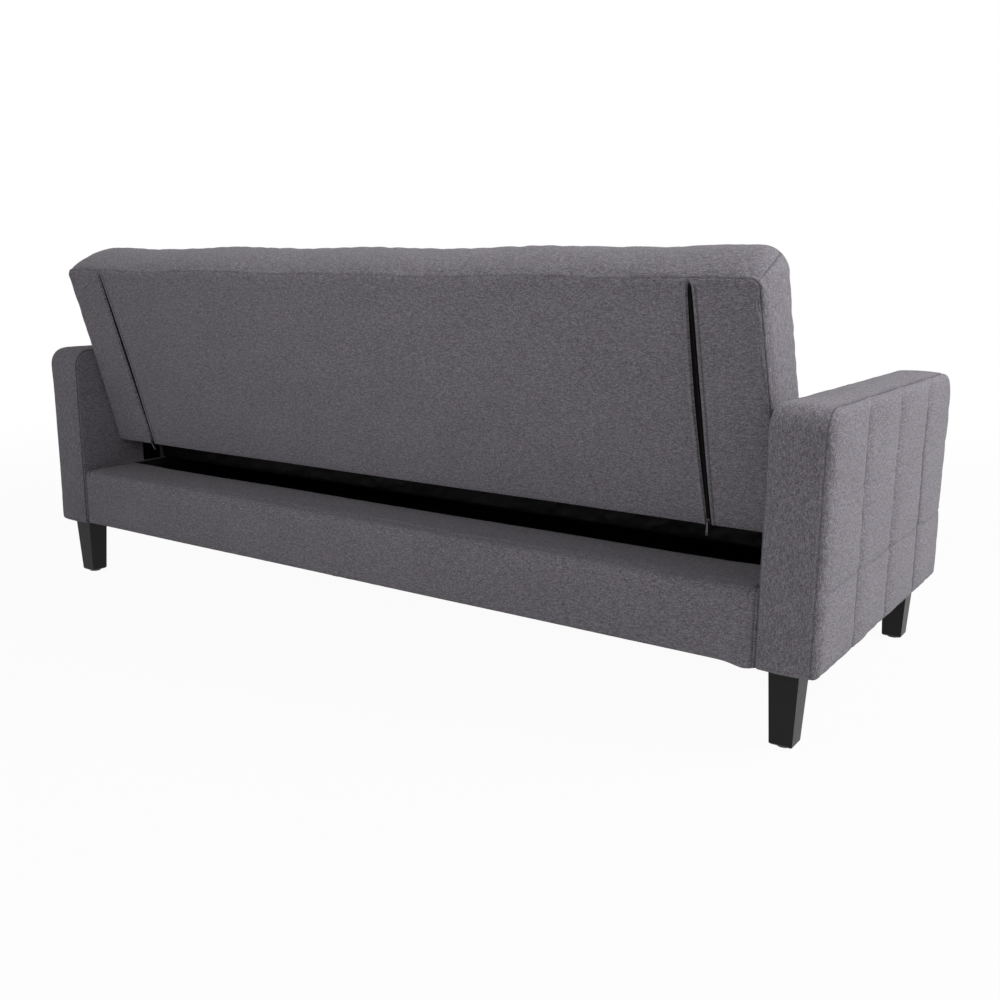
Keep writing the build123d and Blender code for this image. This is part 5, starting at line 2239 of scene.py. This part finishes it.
@dataclass
class ZipSet:
    """The two zips of the rear face: tape, coil, slider and pull."""

    finishes: Finishes
    zip_x: float = 0.800
    tape_half: float = 0.013
    tape_face: float = 0.1206
    tape_thickness: float = 0.0009
    tape_dome: float = 0.0002
    foot: float = -0.020
    head: float = 0.446
    coil_lift: float = 0.0011
    coil_pitch: float = 0.0019
    coil: tuple = (0.0015, 0.0056, 0.0021)
    slider_low: float = -0.021
    slider_high: float = -0.008
    slider_front: float = 0.1234
    slider_rear: float = 0.1279
    bridge_half: float = 0.0042
    pull_width: float = 0.0046
    pull_thickness: float = 0.0014
    pull_lean: float = 40.0
    pull_eye: tuple = (0.0011, 0.0019)
    pull_eye_rise: float = 0.0038

    def build(self) -> None:
        """Make the tapes, coils, sliders and pulls and join them to the frame."""
        self._tapes()
        coil = Rows("zip_coils", Bead.STITCH)
        heights = np.linspace(self.foot, self.head, 40)
        for side in Side:
            x, depth = np.array(side.value * self.zip_x), np.array(self.tape_face + self.coil_lift)
            coil.follow(BackRest.place(x, depth, heights), np.tile(BACK_REARWARD, (len(heights), 1)))
        teeth = coil.make(self.coil_pitch, self.coil, self.finishes.plastic)
        join(teeth, "back", "zip_tape")
        for side in Side:
            self._slider(side)
            self._pull(side)

    def _tapes(self) -> None:
        """Woven tapes, a little domed, with turned edges."""
        across, up = np.linspace(-self.tape_half, self.tape_half, 9), np.linspace(self.foot, self.head, 90)
        a, h = np.meshgrid(across, up, indexing="ij")
        domed = self.tape_face - self.tape_dome * (a / self.tape_half) ** 2
        flat = np.full_like(a, self.tape_face - self.tape_thickness)
        columns, rows = range(len(across) - 1), range(len(up) - 1)
        bm = bmesh.new()
        for side in Side:
            skins = []
            for depth in (domed, flat):
                points = BackRest.place(side.value * self.zip_x + a, depth, h)
                skins.append([[bm.verts.new(p) for p in row] for row in points])
            for skin in skins:
                for i in columns:
                    for j in rows:
                        bm.faces.new((skin[i][j], skin[i + 1][j], skin[i + 1][j + 1], skin[i][j + 1]))
            outer, inner = skins
            for j in rows:
                for i in (0, -1):
                    bm.faces.new((outer[i][j], outer[i][j + 1], inner[i][j + 1], inner[i][j]))
            for i in columns:
                for j in (0, -1):
                    bm.faces.new((outer[i][j], outer[i + 1][j], inner[i + 1][j], inner[i][j]))
        bmesh.ops.recalc_face_normals(bm, faces=bm.faces)
        join(take_off(bm, "zip_tape_pair", self.finishes.tape), "back", "zip_tape", "zip_tapes")

    def _solid(
        self, name: str, outline: list[tuple[float, float]], low: float, high: float, bevel: float
    ) -> Object:
        """Extrude an outline between two depths and round its edges.

        Args:
            name: The piece's name.
            outline: Sideways and upward coordinates, in order.
            low: First depth.
            high: Second depth.
            bevel: Rounding of the edges.

        Returns:
            The piece.
        """
        bm = bmesh.new()
        x, h = np.array(outline).T
        rings = [[bm.verts.new(p) for p in BackRest.place(x, np.array(d), h)] for d in (low, high)]
        for ring in rings:
            bm.faces.new(ring)
        for i in range(len(outline)):
            j = (i + 1) % len(outline)
            bm.faces.new((rings[0][i], rings[0][j], rings[1][j], rings[1][i]))
        bmesh.ops.recalc_face_normals(bm, faces=bm.faces)
        piece = take_off(bm, name, self.finishes.nickel)
        round_edges(piece, bevel, 3)
        shade_smooth(piece.data)
        return piece

    def _slider(self, side: Side) -> None:
        """A flared slider body with its bridge.

        Args:
            side: Which zip.
        """
        x, low, high = side.value * self.zip_x, self.slider_low, self.slider_high
        middle, reach, node = (low + high) / 2, self.bridge_half, f"{side.word}_zip_slider"
        flare = [(0.0026, low), (0.0041, middle), (0.0043, high - 0.001), (0.0022, high)]
        arch = [(0.0011, middle - reach), (0.0014, middle), (0.0011, middle + reach)]
        body, bridge = mirrored(flare, (0.0, high - 0.002)), mirrored(arch)
        parts = (
            ("body", body, self.slider_front, self.slider_rear - 0.0006, 0.0006, (node,)),
            ("bridge", bridge, self.slider_rear - 0.0008, self.slider_rear + 0.0018, 0.0007, ()),
        )
        for word, outline, front, rear, bevel, stands_for in parts:
            placed = [(x + a, h) for a, h in outline]
            piece = self._solid(f"{node}_{word}", placed, front, rear, bevel)
            join(piece, node, "zip_metal", *stands_for)

    def _pull(self, side: Side) -> None:
        """A flat tapered tab with an eye, hanging from the slider.

        Args:
            side: Which zip.
        """
        node = f"{side.word}_zip_pull"
        low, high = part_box(node)
        x, top, bottom = side.value * self.zip_x, high.z - 0.0006, low.z + 0.0003
        half, thick = self.pull_width / 2, self.pull_thickness / 2
        head = ((0.3, top), (0.62, top - 0.001), (0.70, top - 0.006))
        tail = ((0.98, bottom + 0.007), (0.95, bottom + 0.0016), (0.55, bottom))
        outline = mirrored([(half * share, h) for share, h in (*head, *tail)])
        wide, tall = self.pull_eye
        eye = [
            (wide * math.cos(t), bottom + self.pull_eye_rise + tall * math.sin(t))
            for t in np.linspace(0, 2 * math.pi, 14, endpoint=False)
        ]
        lean = math.radians(self.pull_lean) if side is Side.LEFT else 0.0
        pivot, front = top - 0.0015, (low.y + high.y) / 2 - thick
        bm = bmesh.new()
        edges = []
        for ring in (outline, eye):
            verts = []
            for a, h in ring:
                across = a * math.cos(lean) + (h - pivot) * math.sin(lean)
                up = pivot + (h - pivot) * math.cos(lean) - a * math.sin(lean)
                verts.append(bm.verts.new((x + across, front, up)))
            edges += [bm.edges.new(pair) for pair in zip(verts, verts[1:] + verts[:1])]
        filled = bmesh.ops.triangle_fill(bm, use_beauty=True, edges=edges)
        faces = [g for g in filled["geom"] if isinstance(g, bmesh.types.BMFace)]
        grown = bmesh.ops.extrude_face_region(bm, geom=faces)
        for vert in (g for g in grown["geom"] if isinstance(g, bmesh.types.BMVert)):
            vert.co.y += 2 * thick
        bmesh.ops.recalc_face_normals(bm, faces=bm.faces)
        piece = take_off(bm, f"{node}_tab", self.finishes.nickel)
        round_edges(piece, 0.00035, 2)
        join(piece, node, "zip_metal", node)


@dataclass
class Woodwork:
    """Timber, boards and legs that stay as the frame has them."""

    finishes: Finishes

    def dress(self) -> None:
        """Give every board, rail, slat and leg its finish."""
        f = self.finishes
        dress(f.lacquer, "front_left_leg", "front_right_leg", "rear_left_leg", "rear_right_leg")
        dress(f.pine[Grain.UPRIGHT], "left_arm_frame", "right_arm_frame", "back_stiles", "back_slats")
        dress(f.pine[Grain.ACROSS], "seat_front_rail", "seat_rear_rail")
        dress(f.pine[Grain.ACROSS], "back_bottom_rail", "back_top_rail")
        dress(f.pine[Grain.DEEP], "seat_end_rails", "seat_slats", "floor_battens")
        dress(f.plywood[Grain.ACROSS], "rear_rail_board", "rear_ledge_board")
        dress(f.plywood[Grain.ACROSS], "rear_inner_board", "front_rail_board")
        dress(f.plywood[Grain.DEEP], "left_side_board", "right_side_board")
        dress(f.board, "storage_floor")


@dataclass
class Ironwork:
    """Hinges, bolts, plates and glides that stay as the frame has them."""

    finishes: Finishes

    def dress(self) -> None:
        """Give every metal and plastic node its finish."""
        f = self.finishes
        dress(f.plate, "left_hinge_plate", "right_hinge_plate")
        for part in ("seat", "back"):
            arms = [f"{side.word}_{part}_hinge_arm" for side in Side]
            dress(f.zinc, *arms, f"{part}_hinge_screws")
        dress(f.oxide, "hinge_plate_screws", "arm_bolts")
        dress(f.steel, "hinge_pins", "hinge_washers", "leg_plates", "leg_bolts")
        dress(f.plastic, "leg_glides", "seat_rest_pads")


@dataclass
class Studio:
    """White floor and surround, soft lights and the camera."""

    eye: tuple = (-1.5964, 2.1768, 0.8404)
    yaw: float = 34.115
    pitch: float = 12.103
    roll: float = 0.427
    focal: float = 1092.07
    picture: float = 1000.0
    sensor: float = 36.0
    surround: float = 0.268
    key_power: float = 214.0
    fill_power: float = 10.6

    def build(self) -> None:
        """Set up floor, surround, lights and camera."""
        bpy.context.scene.view_settings.view_transform = "Standard"
        self._floor()
        self._surround()
        self._lamp("key_softbox", (-3.6, -0.8, 3.35), (0.0, 0.0, 0.45), 2.6, self.key_power)
        self._lamp("rear_fill", (-0.12, 2.1, 1.35), (-0.1, 0.3, 0.5), 1.0, self.fill_power)
        self._camera()

    def _floor(self) -> None:
        """A wide pale floor that shows as white but keeps the sofa's shadow."""
        s = Shade("pale_floor")
        x, y, _ = s.place()
        mottle = s.noise(x / 0.6, y / 0.6, 0.0)
        tone = s.mix(mottle, (0.54, 0.54, 0.54), (0.58, 0.58, 0.58))
        pale = s.node("ShaderNodeBsdfDiffuse", sockets={"Color": tone})
        white = s.node("ShaderNodeEmission", sockets={"Color": (1, 1, 1, 1), "Strength": 1.0})
        far = ((x * x + y * y) ** 0.5).ease(1.5, 4.5)
        share = s.seen() * (0.955 + far * 0.045)
        both = s.node("ShaderNodeMixShader", sockets={0: share, 1: s.out(pale), 2: s.out(white)})
        s.node("ShaderNodeOutputMaterial", sockets={"Surface": s.out(both)})
        bm = bmesh.new()
        bmesh.ops.create_grid(bm, x_segments=4, y_segments=4, size=40.0)
        take_off(bm, "floor", s.material)

    def _surround(self) -> None:
        """A dim even surround that shows as white."""
        world = bpy.data.worlds.new("surround")
        world.use_nodes = True
        bpy.context.scene.world = world
        g = Graph(world.node_tree)
        strength = g.seen() * (1 - self.surround) + self.surround
        sky = g.node("ShaderNodeBackground", sockets={"Color": (1, 1, 1, 1), "Strength": strength})
        g.node("ShaderNodeOutputWorld", sockets={"Surface": g.out(sky)})

    def _lamp(self, name: str, at: tuple, target: tuple, size: float, power: float) -> None:
        """A square soft lamp.

        Args:
            name: The lamp's name.
            at: Where it stands.
            target: What it faces.
            size: Its side.
            power: Its power in watts.
        """
        data = bpy.data.lights.new(name, "AREA")
        data.size = size
        data.energy = power
        lamp = bpy.data.objects.new(name, data)
        lamp.location = at
        lamp.rotation_euler = (Vector(target) - Vector(at)).to_track_quat("-Z", "Y").to_euler()
        bpy.context.scene.collection.objects.link(lamp)

    def _camera(self) -> None:
        """The camera at the photograph's view."""
        yaw, pitch, roll = (math.radians(a) for a in (self.yaw, self.pitch, self.roll))
        level = math.cos(pitch)
        ahead = Vector((math.sin(yaw) * level, -math.cos(yaw) * level, -math.sin(pitch)))
        right = ahead.cross(Vector(UPWARD)).normalized()
        up = right.cross(ahead)
        level_right = right * math.cos(roll) + up * math.sin(roll)
        level_up = up * math.cos(roll) - right * math.sin(roll)
        data = bpy.data.cameras.new("camera")
        data.sensor_width = self.sensor
        data.lens = self.focal * self.sensor / self.picture
        camera = bpy.data.objects.new("camera", data)
        turn = Matrix((level_right, level_up, -ahead)).transposed()
        camera.matrix_world = Matrix.Translation(Vector(self.eye)) @ turn.to_4x4()
        bpy.context.scene.collection.objects.link(camera)
        bpy.context.scene.camera = camera


def rail_covers(finishes: Finishes) -> list[RailCover]:
    """The padded covers of the rear and the front rail.

    Args:
        finishes: The finishes.

    Returns:
        The two covers, not yet built.
    """
    low, high, low_in, high_in = 0.1500, 0.2930, 0.1506, 0.2815
    lip, face, face_in = (0.4105, low), 0.4160, 0.4048
    lip_in, ledge, ledge_in, hem = (0.4045, 0.1503), 0.2480, 0.2508, 0.2590
    outer = [(*lip, 0), (face, low, 0.0045), (face, high, 0.014), (ledge, high, 0.010), (ledge, hem, 0)]
    inner = [(*lip_in, 0), (face_in, low_in, 0.0002), (face_in, high_in, 0.003)]
    inner += [(ledge_in, high_in, 0.002), (ledge_in, hem, 0)]
    counts = (1, 13, 44, 3)
    skins = [rounded(*line, counts=counts) for line in (outer, inner)]
    names = "rear_rail_padding", "rear_rail_cover"
    rear = RailCover(*names, *skins, finishes, fold=face, droop=0.006)
    stop = 0.3870
    outer = [(*lip, 0), (face, low, 0.0045), (face, high, 0.008), (stop, high, 0)]
    inner = [(*lip_in, 0), (face_in, low_in, 0.0002), (face_in, high_in, 0.003), (stop, high_in, 0)]
    skins = [rounded(*((-y, z, r) for y, z, r in line), counts=(1, 13, 3)) for line in (outer, inner)]
    names = "front_rail_padding", "front_rail_cover"
    return [rear, RailCover(*names, *skins, finishes, seed=8)]


def main() -> None:
    """Build the sofa's covers, dress the frame and set the studio up."""
    logging.basicConfig(level=logging.INFO, format="%(name)s: %(message)s")
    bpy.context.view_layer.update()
    Studio().build()
    finishes = Finishes()
    Woodwork(finishes).dress()
    Ironwork(finishes).dress()
    room = SewingRoom()
    soft = [Arm(Side.LEFT, finishes), Arm(Side.RIGHT, finishes), BackRest(finishes)]
    soft += [SeatCushion(finishes), *rail_covers(finishes)]
    for piece in soft:
        piece.build(room)
    room.stuff()
    for piece in soft:
        piece.finish()
        log.info("finished %s", piece.piece.name)
    SeatLining(finishes).build()
    # Black lining in the box, which also paints the box's deep shade.
    BoxLining(finishes).build()
    ZipSet(finishes).build()


if __name__ == "__main__":
    main()
